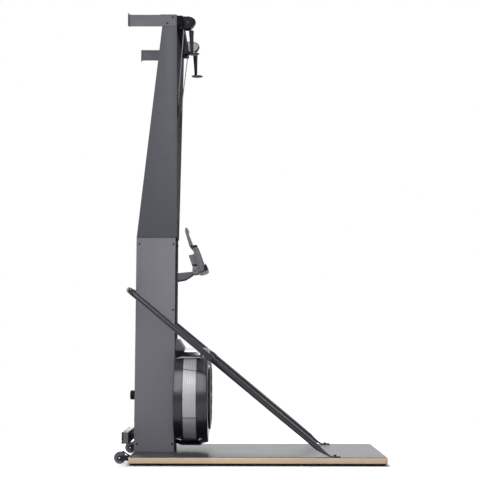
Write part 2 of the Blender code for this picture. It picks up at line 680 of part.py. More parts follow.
def build_beam():
    """Put the beam across the shroud's front, with a notch for each pulley head."""
    end = SHROUD_HALF_HIGH - SHROUD_WALL - FIT_GAP
    beam = box("pulley_beam", (BEAM_REAR, -end, BEAM_LOW), (BEAM_FRONT, end, BEAM_HIGH), PAINT_DARK)
    bevel(beam, BEAM_EDGE)
    half = HEAD_WIDTH / 2 + FIT_GAP
    back = PULLEY_X + HEAD_OUTLINE[0][0] - FIT_GAP
    for side, sign in SIDES:
        centre_y = sign * HEAD_Y
        notch = box(f"head_notch_{side}", (back, centre_y - half, BEAM_LOW - CUT_MARGIN),
                    (BEAM_FRONT + CUT_MARGIN, centre_y + half, BEAM_HIGH + CUT_MARGIN))
        boolean(beam, notch, "DIFFERENCE")


def around_pulley(outline):
    """Set an outline about the pulleys' axis."""
    return [(PULLEY_X + across, PULLEY_Z + up) for across, up in outline]


def build_head(side, sign):
    """Make one pulley head with its pulley and axle."""
    centre_y = sign * HEAD_Y
    half = HEAD_WIDTH / 2
    outer = around_pulley(HEAD_OUTLINE)
    head = plate(f"pulley_head_{side}", outer, centre_y - half, centre_y + half, "Y", BLACK_PLASTIC)
    inner = half - HEAD_WALL
    hollow = around_pulley(HEAD_CAVITY)
    cavity = plate(f"head_cavity_{side}", hollow, centre_y - inner, centre_y + inner, "Y", None)
    boolean(head, cavity, "DIFFERENCE")
    hub = (PULLEY_X, centre_y, PULLEY_Z)
    bore = PULLEY_AXLE_RADIUS + FIT_GAP
    drill = disc(f"head_drill_{side}", bore, -half - CUT_MARGIN, half + CUT_MARGIN, hub, "Y", None,
                 SMALL_STEPS)
    boolean(head, drill, "DIFFERENCE")

    width = PULLEY_WIDTH / 2
    groove = CORD_RADIUS + 2 * FIT_GAP
    profile = [(bore, width), (PULLEY_RIM_RADIUS, width), (PULLEY_RIM_RADIUS, groove + PULLEY_FLANK),
               (PULLEY_GROOVE_RADIUS, groove), (PULLEY_GROOVE_RADIUS, -groove),
               (PULLEY_RIM_RADIUS, -groove - PULLEY_FLANK), (PULLEY_RIM_RADIUS, -width), (bore, -width)]
    turned(f"cord_pulley_{side}", profile, hub, "Y", BLACK_PLASTIC, ROUND_STEPS)

    end = half + FIT_GAP
    cap = end + AXLE_HEAD_THICKNESS
    axle = [(0, cap), (AXLE_HEAD_RADIUS, cap), (AXLE_HEAD_RADIUS, end), (PULLEY_AXLE_RADIUS, end),
            (PULLEY_AXLE_RADIUS, -end), (AXLE_HEAD_RADIUS, -end), (AXLE_HEAD_RADIUS, -cap), (0, -cap)]
    turned(f"pulley_axle_{side}", axle, hub, "Y", STEEL, SMALL_STEPS, closed=False)


def build_cords(side, sign):
    """Run the drive cord over the pulley to its drum, and hang the handle's cord."""
    y = sign * HEAD_Y
    wrap = [(x, y, z) for x, z in arc((PULLEY_X, PULLEY_Z), CORD_OFFSET, 0, 180, CORD_WRAP_STEPS)]
    route = wrap + [(CORD_BEND_X, sign * CORD_BEND_Y, CORD_BEND_Z), (DRUM_X[side], DRUM_CORD_OFFSET, FAN_Z)]
    tube(f"drive_cord_{side}", route, CORD_RADIUS, CORD_GREY, CORD_RESOLUTION)
    top = PULLEY_Z - FIT_GAP
    tube(f"handle_cord_{side}", [(CORD_FRONT_X, y, top), (CORD_FRONT_X, y, HANDLE_TOP + FIT_GAP)],
         CORD_RADIUS, CORD_GREY, CORD_RESOLUTION, pivot=(CORD_FRONT_X, y, top))


def build_handle(side, sign):
    """Turn one grip, and put the guard plate at its lower end."""
    top = (CORD_FRONT_X, sign * HEAD_Y, HANDLE_TOP)
    profile = [(0, 0), (HANDLE_TOP_RADIUS - HANDLE_TOP_EDGE, 0), (HANDLE_TOP_RADIUS, -HANDLE_TOP_EDGE),
               (HANDLE_TOP_RADIUS, -HANDLE_HEAD_LENGTH)]
    taper = HANDLE_LENGTH - HANDLE_HEAD_LENGTH
    for step in range(1, HANDLE_TAPER_STEPS + 1):
        share = step / HANDLE_TAPER_STEPS
        slim = HANDLE_TOP_RADIUS + (HANDLE_NECK_RADIUS - HANDLE_TOP_RADIUS) * share ** HANDLE_TAPER_POWER
        profile.append((slim, -HANDLE_HEAD_LENGTH - taper * share))
    profile.append((0, -HANDLE_LENGTH))
    grip = turned(f"handle_grip_{side}", profile, top, "Z", DARK_RUBBER, SMALL_STEPS, closed=False)
    grip.rotation_euler = (0, -HANDLE_LEAN, 0)

    outline = []
    for step in range(ROUND_STEPS):
        turn = math.tau * step / ROUND_STEPS
        nose = GUARD_NOSE * max(0.0, math.cos(turn)) ** 3
        outline.append((GUARD_X + GUARD_LENGTH / 2 * math.cos(turn) + nose,
                        sign * HEAD_Y + GUARD_WIDTH / 2 * math.sin(turn)))
    lean_drop = HANDLE_NECK_RADIUS * math.sin(HANDLE_LEAN)
    guard_top = HANDLE_TOP - HANDLE_LENGTH * math.cos(HANDLE_LEAN) - lean_drop - FIT_GAP
    guard = plate(f"handle_guard_{side}", outline, guard_top - GUARD_THICKNESS, guard_top, "Z", DARK_RUBBER)
    bevel(guard, GUARD_EDGE)


# Fan

def build_fan_casing():
    """Turn the rings, the screen band, the front cover and the damper dial."""
    centre = (0, 0, FAN_Z)
    rear = FRONT_SEAT
    rear_end = rear + REAR_RING_LENGTH
    floor = rear + RING_WALL
    rear_profile = [(RING_INNER, rear_end), (RING_RADIUS, rear_end), (RING_RADIUS, rear + RING_EDGE),
                    (RING_RADIUS - RING_EDGE, rear), (INTAKE_RADIUS, rear), (INTAKE_RADIUS, floor),
                    (RING_INNER, floor)]
    turned("fan_rear_ring", rear_profile, centre, "X", PAINT_GREY, RING_STEPS)
    inside = SCREEN_RADIUS - SCREEN_WALL
    band = [(inside, SCREEN_END), (SCREEN_RADIUS, SCREEN_END), (SCREEN_RADIUS, SCREEN_START),
            (inside, SCREEN_START)]
    turned("fan_screen", band, centre, "X", SILVER, RING_STEPS)
    inner = FLANGE_RADIUS - RING_WALL
    corner = FLANGE_CORNER
    bend = (FLANGE_END - corner, FLANGE_RADIUS - corner)
    outer_corner = [(r, x) for x, r in arc(bend, corner, 0, 90, CORNER_STEPS)]
    inner_corner = [(r, x) for x, r in arc(bend, corner - RING_WALL, 90, 0, CORNER_STEPS - 1)]
    profile = [(FLANGE_OPENING, FLANGE_END)] + outer_corner
    profile += [(FLANGE_RADIUS, FRONT_RING_END), (RING_RADIUS, FRONT_RING_END),
                (RING_RADIUS, FRONT_RING_START), (RING_INNER, FRONT_RING_START),
                (RING_INNER, FRONT_RING_END - RING_WALL),
                (inner, FRONT_RING_END - RING_WALL / 2)]
    profile += inner_corner + [(FLANGE_OPENING, FLANGE_END - RING_WALL)]
    turned("fan_front_ring", profile, centre, "X", PAINT_DARK, RING_STEPS)

    seat = FLANGE_END + FIT_GAP
    face = seat + FRONT_COVER_DEPTH
    floor = seat + FRONT_COVER_FLOOR
    wall = FRONT_COVER_FLOOR
    well = DIAL_RADIUS + 2 * FIT_GAP
    bore = DIAL_PIN_RADIUS + FIT_GAP
    edge = FRONT_COVER_EDGE
    cover = [(bore, floor), (well, floor), (well, face), (FRONT_COVER_RADIUS - edge, face),
             (FRONT_COVER_RADIUS, face - edge), (FRONT_COVER_RADIUS, seat), (FRONT_COVER_RADIUS - wall, seat),
             (FRONT_COVER_RADIUS - wall, face - wall - edge / 2),
             (FRONT_COVER_RADIUS - wall - edge / 2, face - wall),
             (well + wall, face - wall), (well + wall, seat), (bore, seat)]
    turned("fan_front_cover", cover, centre, "X", PAINT_DARK, COVER_STEPS)

    dial_low = floor + FIT_GAP
    dial_high = dial_low + DIAL_THICKNESS
    dial = [(0, dial_high), (DIAL_RADIUS, dial_high), (DIAL_RADIUS, dial_low), (DIAL_PIN_RADIUS, dial_low),
            (DIAL_PIN_RADIUS, dial_low - DIAL_PIN_LENGTH), (0, dial_low - DIAL_PIN_LENGTH)]
    piece = turned("damper_dial", dial, centre, "X", BLACK_PLASTIC, COVER_STEPS, closed=False)
    reach, half = DAMPER_LEVER_LENGTH / 2, DAMPER_LEVER_WIDTH / 2
    lever = box("damper_lever", (dial_low + DIAL_THICKNESS / 2, -reach, FAN_Z - half),
                (face - FIT_GAP, reach, FAN_Z + half))
    boolean(piece, lever, "UNION")


def build_fan_clips():
    """Strap the two rings together over the screen band."""
    seat = RING_RADIUS + FIT_GAP
    top = seat + CLIP_HEIGHT
    inner_top = top - CLIP_WALL
    outline = ((CLIP_FRONT, seat), (CLIP_FRONT - CLIP_FRONT_SLOPE + CLIP_WALL, top),
               (CLIP_REAR + CLIP_REAR_SLOPE - CLIP_WALL, top), (CLIP_REAR, seat),
               (CLIP_REAR + CLIP_WALL, seat), (CLIP_REAR + CLIP_REAR_SLOPE, inner_top),
               (CLIP_FRONT - CLIP_FRONT_SLOPE, inner_top), (CLIP_FRONT - CLIP_WALL, seat))
    for label, angle in CLIP_ANGLES:
        clip = plate(f"fan_clip_{label}", outline, -CLIP_HALF_WIDTH, CLIP_HALF_WIDTH, "Y", BLACK_PLASTIC)
        turn = math.radians(90 - angle)
        clip.rotation_euler = (-turn, 0, 0)
        clip.location = (0, 0, FAN_Z)
        hollow = disc(f"clip_hollow_{label}", seat, CLIP_REAR - CUT_MARGIN, CLIP_FRONT + CUT_MARGIN,
                      (0, 0, FAN_Z), "X", None, 2 * RING_STEPS)
        boolean(clip, hollow, "DIFFERENCE")

    centre = (0, 0, FAN_Z)
    profile = [(radius, x) for x, radius in outline]
    cradle = turned("fan_clip_bottom", profile, centre, "X", BLACK_PLASTIC, RING_STEPS)
    depth = top + CUT_MARGIN
    reach = depth * math.tan(CRADLE_HALF_ANGLE)
    sector = ((0, FAN_Z), (-reach, FAN_Z - depth), (reach, FAN_Z - depth))
    wedge = plate("cradle_wedge", sector, CLIP_REAR - CUT_MARGIN, CLIP_FRONT + CUT_MARGIN, "X", None)
    boolean(cradle, wedge, "INTERSECT")


def build_gusset():
    """Make the hood that ties the fan's crown to the column."""
    half = COLUMN_HALF_WIDTH
    top = GUSSET_OUTLINE[0][1]
    outline = [(FRONT_SEAT, top), *GUSSET_OUTLINE, (FRONT_SEAT, GUSSET_LOW)]
    hood = plate("fan_gusset", outline, -half, half, "Y", PAINT_GREY)
    wall = GUSSET_WALL
    behind, under = FRONT_SEAT - CUT_MARGIN, GUSSET_LOW - CUT_MARGIN
    brow, chin = GUSSET_OUTLINE[0][0] - wall, GUSSET_OUTLINE[1][0] - wall
    inside = [(behind, top - wall), (brow, top - wall), (chin, GUSSET_OUTLINE[1][1] - wall),
              (chin, under), (behind, under)]
    boolean(hood, plate("gusset_hollow", inside, -half + wall, half - wall, "Y", None), "DIFFERENCE")
    round_cut = disc("gusset_round", RING_RADIUS + FIT_GAP, FRONT_SEAT - CUT_MARGIN, SCREEN_END,
                     (0, 0, FAN_Z), "X", None, 2 * RING_STEPS)
    boolean(hood, round_cut, "DIFFERENCE")


def build_drive():
    """Make the shaft, its rear bearing, the rotor and the two cord drums."""
    centre = (0, 0, FAN_Z)
    shaft = [(0, SHAFT_FRONT), (SHAFT_RADIUS, SHAFT_FRONT), (SHAFT_RADIUS, SHAFT_REAR), (0, SHAFT_REAR)]
    turned("fan_shaft", shaft, centre, "X", STEEL, ROUND_STEPS, closed=False)

    bore = SHAFT_RADIUS + FIT_GAP
    bearing = [(bore, BEARING_NECK_END), (BEARING_NECK_RADIUS, BEARING_NECK_END),
               (BEARING_NECK_RADIUS, BEARING_CAP_FRONT), (BEARING_CAP_RADIUS, BEARING_CAP_FRONT),
               (BEARING_CAP_RADIUS, BEARING_CAP_REAR + BEARING_CAP_EDGE),
               (BEARING_CAP_RADIUS - BEARING_CAP_EDGE, BEARING_CAP_REAR),
               (0, BEARING_CAP_REAR), (0, SHAFT_REAR - FIT_GAP), (bore, SHAFT_REAR - FIT_GAP)]
    turned("shaft_bearing_rear", bearing, centre, "X", BLACK_PLASTIC, ROUND_STEPS)

    hub_turn = math.asin(ROTOR_BLADE_THICKNESS / 2 / ROTOR_HUB_RADIUS)
    tip_turn = math.asin(ROTOR_BLADE_THICKNESS / 2 / ROTOR_RADIUS)
    outline = []
    for blade in range(ROTOR_BLADES):
        turn = math.tau * blade / ROTOR_BLADES
        for radius, angle in ((ROTOR_HUB_RADIUS, turn - hub_turn), (ROTOR_RADIUS, turn - tip_turn),
                              (ROTOR_RADIUS, turn + tip_turn), (ROTOR_HUB_RADIUS, turn + hub_turn)):
            outline.append((radius * math.cos(angle), FAN_Z + radius * math.sin(angle)))
    hole = arc((0, FAN_Z), bore, 0, 360, ROUND_STEPS)[:-1]
    plate("fan_rotor", outline, ROTOR_START, ROTOR_END, "X", SILVER, holes=(hole,), pivot=(0, 0, FAN_Z))

    half = DRUM_WIDTH / 2
    for side, _ in SIDES:
        inner = half - DRUM_RIM_THICKNESS
        drum = [(bore, half), (DRUM_RIM_RADIUS, half), (DRUM_RIM_RADIUS, inner),
                (DRUM_CORE_RADIUS, inner), (DRUM_CORE_RADIUS, -inner), (DRUM_RIM_RADIUS, -inner),
                (DRUM_RIM_RADIUS, -half), (bore, -half)]
        turned(f"cord_drum_{side}", drum, (DRUM_X[side], 0, FAN_Z), "X", BLACK_PLASTIC, ROUND_STEPS)


# Monitor

def build_monitor_arm():
    """Fold the arm, with a fork and a pin that the monitor tilts on."""
    half = MONITOR_ARM_HALF_WIDTH
    arm = plate("monitor_arm", MONITOR_ARM_OUTLINE, -half, half, "Y", PAINT_GREY)
    root = FRONT_SEAT + ARM_FOOT_THICKNESS
    low = MONITOR_ARM_OUTLINE[-1][1] - ARM_FOOT_MARGIN
    high = MONITOR_ARM_OUTLINE[0][1] + ARM_FOOT_MARGIN
    foot = box("arm_foot", (FRONT_SEAT, -half - ARM_FOOT_MARGIN, low), (root, half + ARM_FOOT_MARGIN, high))
    boolean(arm, foot, "UNION")
    gap = MONITOR_LUG_HALF_WIDTH + FIT_GAP
    reach = ARM_FORK_REACH
    fork = box("arm_fork", (TILT_X - ARM_FORK_DEPTH, -gap, TILT_Z - reach),
               (TILT_X + reach, gap, TILT_Z + reach))
    boolean(arm, fork, "DIFFERENCE")
    end = half + TILT_PIN_PROUD
    pin = disc("tilt_pin", TILT_PIN_RADIUS, -end, end, (TILT_X, 0, TILT_Z), "Y", None, SMALL_STEPS)
    boolean(arm, pin, "UNION")


def face_frame():
    """Give the housing's front face: its centre, its up direction and its outward normal."""
    top, bottom = Vector(HOUSING_OUTLINE[1]), Vector(HOUSING_OUTLINE[2])
    up = (top - bottom).normalized()
    middle = (top + bottom) / 2
    return Vector((middle.x, 0, middle.y)), Vector((up.x, 0, up.y)), Vector((up.y, 0, -up.x))


def on_face(piece, across, along, depth):
    """Stand a piece on the housing's front face."""
    centre, up, normal = face_frame()
    lateral = Vector((0, 1, 0))
    piece.location = centre + lateral * across + up * along + normal * depth
    piece.rotation_euler = Matrix((lateral, up, normal)).transposed().to_euler()


def build_monitor():
    """Make the housing, the rear box, the screen, the buttons, the shelf and the folding plate."""
    pivot = (TILT_X, 0, TILT_Z)
    wide = HOUSING_HALF_WIDTH
    housing = plate("monitor_housing", HOUSING_OUTLINE, -wide, wide, "Y", BLACK_PLASTIC, pivot=pivot)
    bevel(housing, HOUSING_EDGE)
    hinge = (PLATE_HINGE_X, PLATE_HINGE_Z)
    ear_root = HOUSING_OUTLINE[0]
    ear_outline = arc(hinge, PLATE_HINGE_RADIUS, *PLATE_EAR_ANGLES, HINGE_STEPS)
    ear_outline += [(ear_root[0] + HOUSING_EDGE, ear_root[1] - HOUSING_EDGE),
                    (ear_root[0] + 3 * HOUSING_EDGE, ear_root[1] - HOUSING_EDGE / 2)]
    for number, sign in enumerate((-1, 1)):
        ends = span(sign, PLATE_EAR_Y, PLATE_EAR_Y + PLATE_EAR_THICKNESS)
        boolean(housing, plate(f"plate_ear_{number}", ear_outline, *ends, "Y", None), "UNION")
    drill = disc("plate_drill", PLATE_PIN_RADIUS + FIT_GAP, -wide, wide, (hinge[0], 0, hinge[1]), "Y", None,
                 SMALL_STEPS)
    boolean(housing, drill, "DIFFERENCE")

    width, height = SCREEN_SIZE[0] / 2, SCREEN_SIZE[1] / 2
    pocket_outline = rounded_rectangle((-width - FIT_GAP, -height - FIT_GAP),
                                       (width + FIT_GAP, height + FIT_GAP), SCREEN_CORNER, CORNER_STEPS)
    pocket = plate("screen_pocket", pocket_outline, -SCREEN_THICKNESS - FIT_GAP, CUT_MARGIN, "Z", None)
    on_face(pocket, SCREEN_OFFSET, 0, 0)
    boolean(housing, pocket, "DIFFERENCE")
    lens_outline = rounded_rectangle((-width, -height), (width, height), SCREEN_CORNER, CORNER_STEPS)
    lens = plate("monitor_screen", lens_outline, -SCREEN_THICKNESS, 0, "Z", GLASS)
    on_face(lens, SCREEN_OFFSET, 0, 0)

    for number in range(BUTTON_COUNT):
        along = (number - (BUTTON_COUNT - 1) / 2) * BUTTON_PITCH
        depth = BUTTON_LENGTH - BUTTON_PROUD + BUTTON_TRAVEL + 2 * FIT_GAP
        well = disc(f"button_well_{number}", BUTTON_RADIUS + FIT_GAP, -depth, CUT_MARGIN, (0, 0, 0), "Z",
                    None, SMALL_STEPS)
        on_face(well, BUTTON_OFFSET, along, 0)
        boolean(housing, well, "DIFFERENCE")
        cap = BUTTON_PROUD
        profile = [(0, cap), (BUTTON_RADIUS - BUTTON_EDGE, cap), (BUTTON_RADIUS, cap - BUTTON_EDGE),
                   (BUTTON_RADIUS, cap - BUTTON_LENGTH), (0, cap - BUTTON_LENGTH)]
        button = turned(f"monitor_button_{number + 1}", profile, (0, 0, 0), "Z", DARK_RUBBER,
                        SMALL_STEPS, closed=False)
        on_face(button, BUTTON_OFFSET, along, 0)

    wide = REAR_BOX_HALF_WIDTH
    back = plate("monitor_rear_box", REAR_BOX_OUTLINE, -wide, wide, "Y", PAINT_GREY, pivot=pivot)
    lug = MONITOR_LUG_HALF_WIDTH
    lug_top = REAR_BOX_OUTLINE[-1][1] + 2 * TILT_PIN_RADIUS
    lug_outline = [(TILT_X + lug, lug_top), (TILT_X - lug, lug_top)]
    lug_outline += arc((TILT_X, TILT_Z), lug, 180, 360, BEND_STEPS)
    boolean(back, plate("tilt_lug", lug_outline, -lug, lug, "Y", None), "UNION")
    bore = disc("lug_bore", TILT_PIN_RADIUS + FIT_GAP, -lug - CUT_MARGIN, lug + CUT_MARGIN,
                (TILT_X, 0, TILT_Z), "Y", None, SMALL_STEPS)
    boolean(back, bore, "DIFFERENCE")

    wide = SHELF_HALF_WIDTH
    shelf = plate("device_shelf", SHELF_OUTLINE, -wide, wide, "Y", BLACK_PLASTIC, pivot=pivot)
    notch = SHELF_NOTCH_HALF_WIDTH
    rear, low = SHELF_OUTLINE[0]
    front = rear + SHELF_NOTCH_DEPTH
    cutter = box("shelf_notch", (rear - CUT_MARGIN, -notch, low - CUT_MARGIN),
                 (front, notch, low + 2 * CUT_MARGIN))
    boolean(shelf, cutter, "DIFFERENCE")

    folding = plate("device_plate", PLATE_OUTLINE, -PLATE_HALF_WIDTH, PLATE_HALF_WIDTH, "Y", PAINT_GREY,
                    pivot=(hinge[0], 0, hinge[1]))
    clear = FIT_GAP * 2
    for number, sign in enumerate((-1, 1)):
        low, high = span(sign, PLATE_EAR_Y - clear, PLATE_EAR_Y + PLATE_EAR_THICKNESS + clear)
        slot = disc(f"ear_slot_{number}", PLATE_HINGE_RADIUS + PLATE_EAR_CLEARANCE, low, high,
                    (hinge[0], 0, hinge[1]), "Y", None, ROUND_STEPS)
        boolean(folding, slot, "DIFFERENCE")
    pin = disc("plate_pin", PLATE_PIN_RADIUS, -PLATE_PIN_END, PLATE_PIN_END, (hinge[0], 0, hinge[1]), "Y",
               None, SMALL_STEPS)
    boolean(folding, pin, "UNION")


# Brace

def brace_height(x):
    """Give the height of the brace's centre line over a point along X."""
    return BRACE_POINT_Z - math.tan(BRACE_SLOPE) * (x - BRACE_POINT_X)


def build_brace():
    """Bend the loop round the column and loft the two legs down to their feet."""
    down = Vector((math.cos(BRACE_SLOPE), 0, -math.sin(BRACE_SLOPE)))
    rear_x = COLUMN_REAR - FIT_GAP - BRACE_RADIUS
    rear = Vector((rear_x, 0, brace_height(rear_x)))
    run = (BRACE_JOINT_X - rear_x) / math.cos(BRACE_SLOPE)
    bend = arc((BRACE_Y - BRACE_BEND, BRACE_BEND), BRACE_BEND, -90, 0, BEND_STEPS)
    half = [(0, 0), *bend, (BRACE_Y, run)]
    right = [rear + Vector((0, across, 0)) + down * along for across, along in half]
    left = [Vector((point.x, -point.y, point.z)) for point in reversed(right[1:])]
    tube("brace_loop", left + right, BRACE_RADIUS, PAINT_DARK, BRACE_RESOLUTION)

    joint_z = brace_height(BRACE_JOINT_X)
    joint = (BRACE_JOINT_X + FIT_GAP * down.x, joint_z + FIT_GAP * down.z)
    collar_end = (BRACE_JOINT_X + COLLAR_LENGTH * down.x, joint_z + COLLAR_LENGTH * down.z)
    knee = Vector((FOOT_KNEE_X, brace_height(FOOT_KNEE_X)))
    foot = Vector((FOOT_KNEE_X + FOOT_BEND_LENGTH, FLOOR_TOP + FIT_GAP + FOOT_HALF_THICKNESS))
    control = knee + Vector((down.x, down.z)) * FOOT_BEND_REACH
    rings = [(joint, BRACE_SLOPE, COLLAR_RADIUS, COLLAR_RADIUS),
             (collar_end, BRACE_SLOPE, COLLAR_RADIUS, COLLAR_RADIUS),
             ((collar_end[0] + FIT_GAP, collar_end[1]), BRACE_SLOPE, BRACE_RADIUS, BRACE_RADIUS)]
    for step in range(FOOT_BEND_STEPS + 1):
        share = step / FOOT_BEND_STEPS
        centre = knee * (1 - share) ** 2 + control * 2 * share * (1 - share) + foot * share ** 2
        wide = BRACE_RADIUS + (FOOT_HALF_WIDTH - BRACE_RADIUS) * share
        thick = BRACE_RADIUS + (FOOT_HALF_THICKNESS - BRACE_RADIUS) * share ** FOOT_FLATTEN_POWER
        rings.append(((centre.x, centre.y), BRACE_SLOPE * (1 - share), wide, thick))
    rings.append(((FOOT_END_X, foot.y), 0.0, FOOT_HALF_WIDTH, FOOT_HALF_THICKNESS))
    for side, sign in SIDES:
        loft_leg(f"brace_leg_{side}", sign * BRACE_Y, rings)


def loft_leg(name, centre_y, rings):
    """Loft flattened rings into one closed leg.

    Each ring has its centre in (x, z), its slope down, and its half width and half thickness.
    """
    points, faces = [], []
    count = SMALL_STEPS
    for (x, z), slope, wide, thick in rings:
        power = 1.0 if thick > wide * ROUND_SHARE else FLAT_POWER
        for step in range(count):
            turn = math.tau * step / count
            across = wide * squared(math.cos(turn), power)
            lift = thick * squared(math.sin(turn), power)
            points.append((x + lift * math.sin(slope), centre_y + across, z + lift * math.cos(slope)))
    for ring in range(len(rings) - 1):
        low, high = ring * count, (ring + 1) * count
        for step in range(count):
            after = (step + 1) % count
            faces.append((low + step, low + after, high + after, high + step))
    last = (len(rings) - 1) * count
    faces.append(tuple(range(count - 1, -1, -1)))
    faces.append(tuple(last + step for step in range(count)))
    mesh = bpy.data.meshes.new(name)
    mesh.from_pydata(points, [], faces)
    place(name, mesh, PAINT_DARK)


def squared(value, power):
    """Square up a round section by a power below one."""
    return math.copysign(abs(value) ** power, value)


clear_scene()
pieces = new_collection("ski_ergometer")
cutters = new_collection("cutters")
origin = bpy.data.objects.new("ski_ergometer_origin", None)
pieces.objects.link(origin)
origin.location = (-ORIGIN_X, 0, -FLOOR_LEVEL)

build_platform()
build_column()
build_bumper()
build_shroud()
build_wall_brackets()
build_beam()
for side_name, side_sign in SIDES:
    build_wheel(side_name, side_sign)
    build_head(side_name, side_sign)
    build_cords(side_name, side_sign)
    build_handle(side_name, side_sign)
build_fan_casing()
build_fan_clips()
build_gusset()
build_drive()
build_monitor_arm()
build_monitor()
build_brace()
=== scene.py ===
"""Ski ergometer on a wooden platform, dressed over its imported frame.

Metres, +Z up. The user stands at +X and faces -X, so the user's left is -Y, the
side nearest the camera. Sizes along X are written from the platform's rear edge
and heights from a level 5 mm over the floor, as in the CAD source.
"""

from __future__ import annotations

import logging
from dataclasses import dataclass
from enum import Enum
from math import cos, degrees, pi, radians, sin, sqrt, tau
from typing import Any, Iterable, Sequence

import bmesh
import bpy
from bmesh.types import BMesh, BMVert
from bpy.types import ID, Material, Mesh, Node, NodeTree, Object
from bpy.types import NodeSocket as Socket
from mathutils import Euler, Matrix, Vector


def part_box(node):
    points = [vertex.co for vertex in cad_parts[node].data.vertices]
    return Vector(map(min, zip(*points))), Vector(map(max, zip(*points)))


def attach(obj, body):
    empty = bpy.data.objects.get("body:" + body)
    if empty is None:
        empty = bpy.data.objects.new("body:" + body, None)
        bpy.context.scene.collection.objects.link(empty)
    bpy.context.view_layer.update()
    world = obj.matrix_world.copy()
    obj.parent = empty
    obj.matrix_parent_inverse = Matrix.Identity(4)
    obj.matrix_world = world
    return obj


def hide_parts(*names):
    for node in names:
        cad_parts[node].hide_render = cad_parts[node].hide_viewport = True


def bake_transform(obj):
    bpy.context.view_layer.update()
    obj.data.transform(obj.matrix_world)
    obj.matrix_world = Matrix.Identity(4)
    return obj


LOG = logging.getLogger("ski_ergometer")

Colour = tuple[float, float, float]
Span = tuple[float, float]
Point2 = tuple[float, float]
Point3 = tuple[float, float, float]
Outline = tuple[Point2, ...]

SIDES = (("left", -1), ("right", 1))
# The gap between parts that touch, and where the board's underside is
FIT_GAP = 0.0003
BOARD_LOW = 0.0063
# How near two points are when they become one, in a made shape and in a CAD mesh
WELD = 0.000002
CAD_WELD = 0.000005
# Faces that meet flatter than the first are one face, edges sharper than the second are rounded, and
# shading runs over edges flatter than the third
FLAT_ANGLE = radians(0.6)
BEVEL_ANGLE = radians(30)
SMOOTH_ANGLE = radians(32)
# Steps round the fan's rings, and round smaller turned parts
RING_STEPS = 144
TURNED_STEPS = 64
# How far a wave texture of scale 1 turns in a metre, in radians
WAVE_RATE = 20
CORD_MAP = "laid_along"


def srgb(red: int, green: int, blue: int) -> Colour:
    """Turn a display colour of 0 to 255 into the linear colour that a shader takes."""
    shares = (value / 255 for value in (red, green, blue))
    return tuple(s / 12.92 if s <= 0.04045 else ((s + 0.055) / 1.055) ** 2.4 for s in shares)


def scaled(colour: Colour, factor: float) -> Colour:
    """Make a colour lighter or darker by a factor."""
    return tuple(channel * factor for channel in colour)


# Materials


class NodeMaker:
    """Adds nodes to a tree, each with what goes into it."""

    def __init__(self, tree: NodeTree) -> None:
        """Work in a tree."""
        self.tree = tree

    def add(self, kind: str, inputs: dict[str | int, Any] | None = None, **values: Any) -> Node:
        """Add a node.

        Args:
            kind: The node's type.
            inputs: The socket or the fixed value that goes into each input.
            **values: Properties of the node to set.

        Returns:
            The new node.
        """
        node = self.tree.nodes.new(kind)
        for key, value in values.items():
            setattr(node, key, value)
        for key, value in (inputs or {}).items():
            if isinstance(value, Socket):
                self.tree.links.new(value, node.inputs[key])
            else:
                node.inputs[key].default_value = value
        return node

    def combined(self, operation: str, first: Socket, second: Socket | float) -> Socket:
        """Work out a value from two, by an operation such as MULTIPLY."""
        return self.add("ShaderNodeMath", {0: first, 1: second}, operation=operation).outputs["Value"]


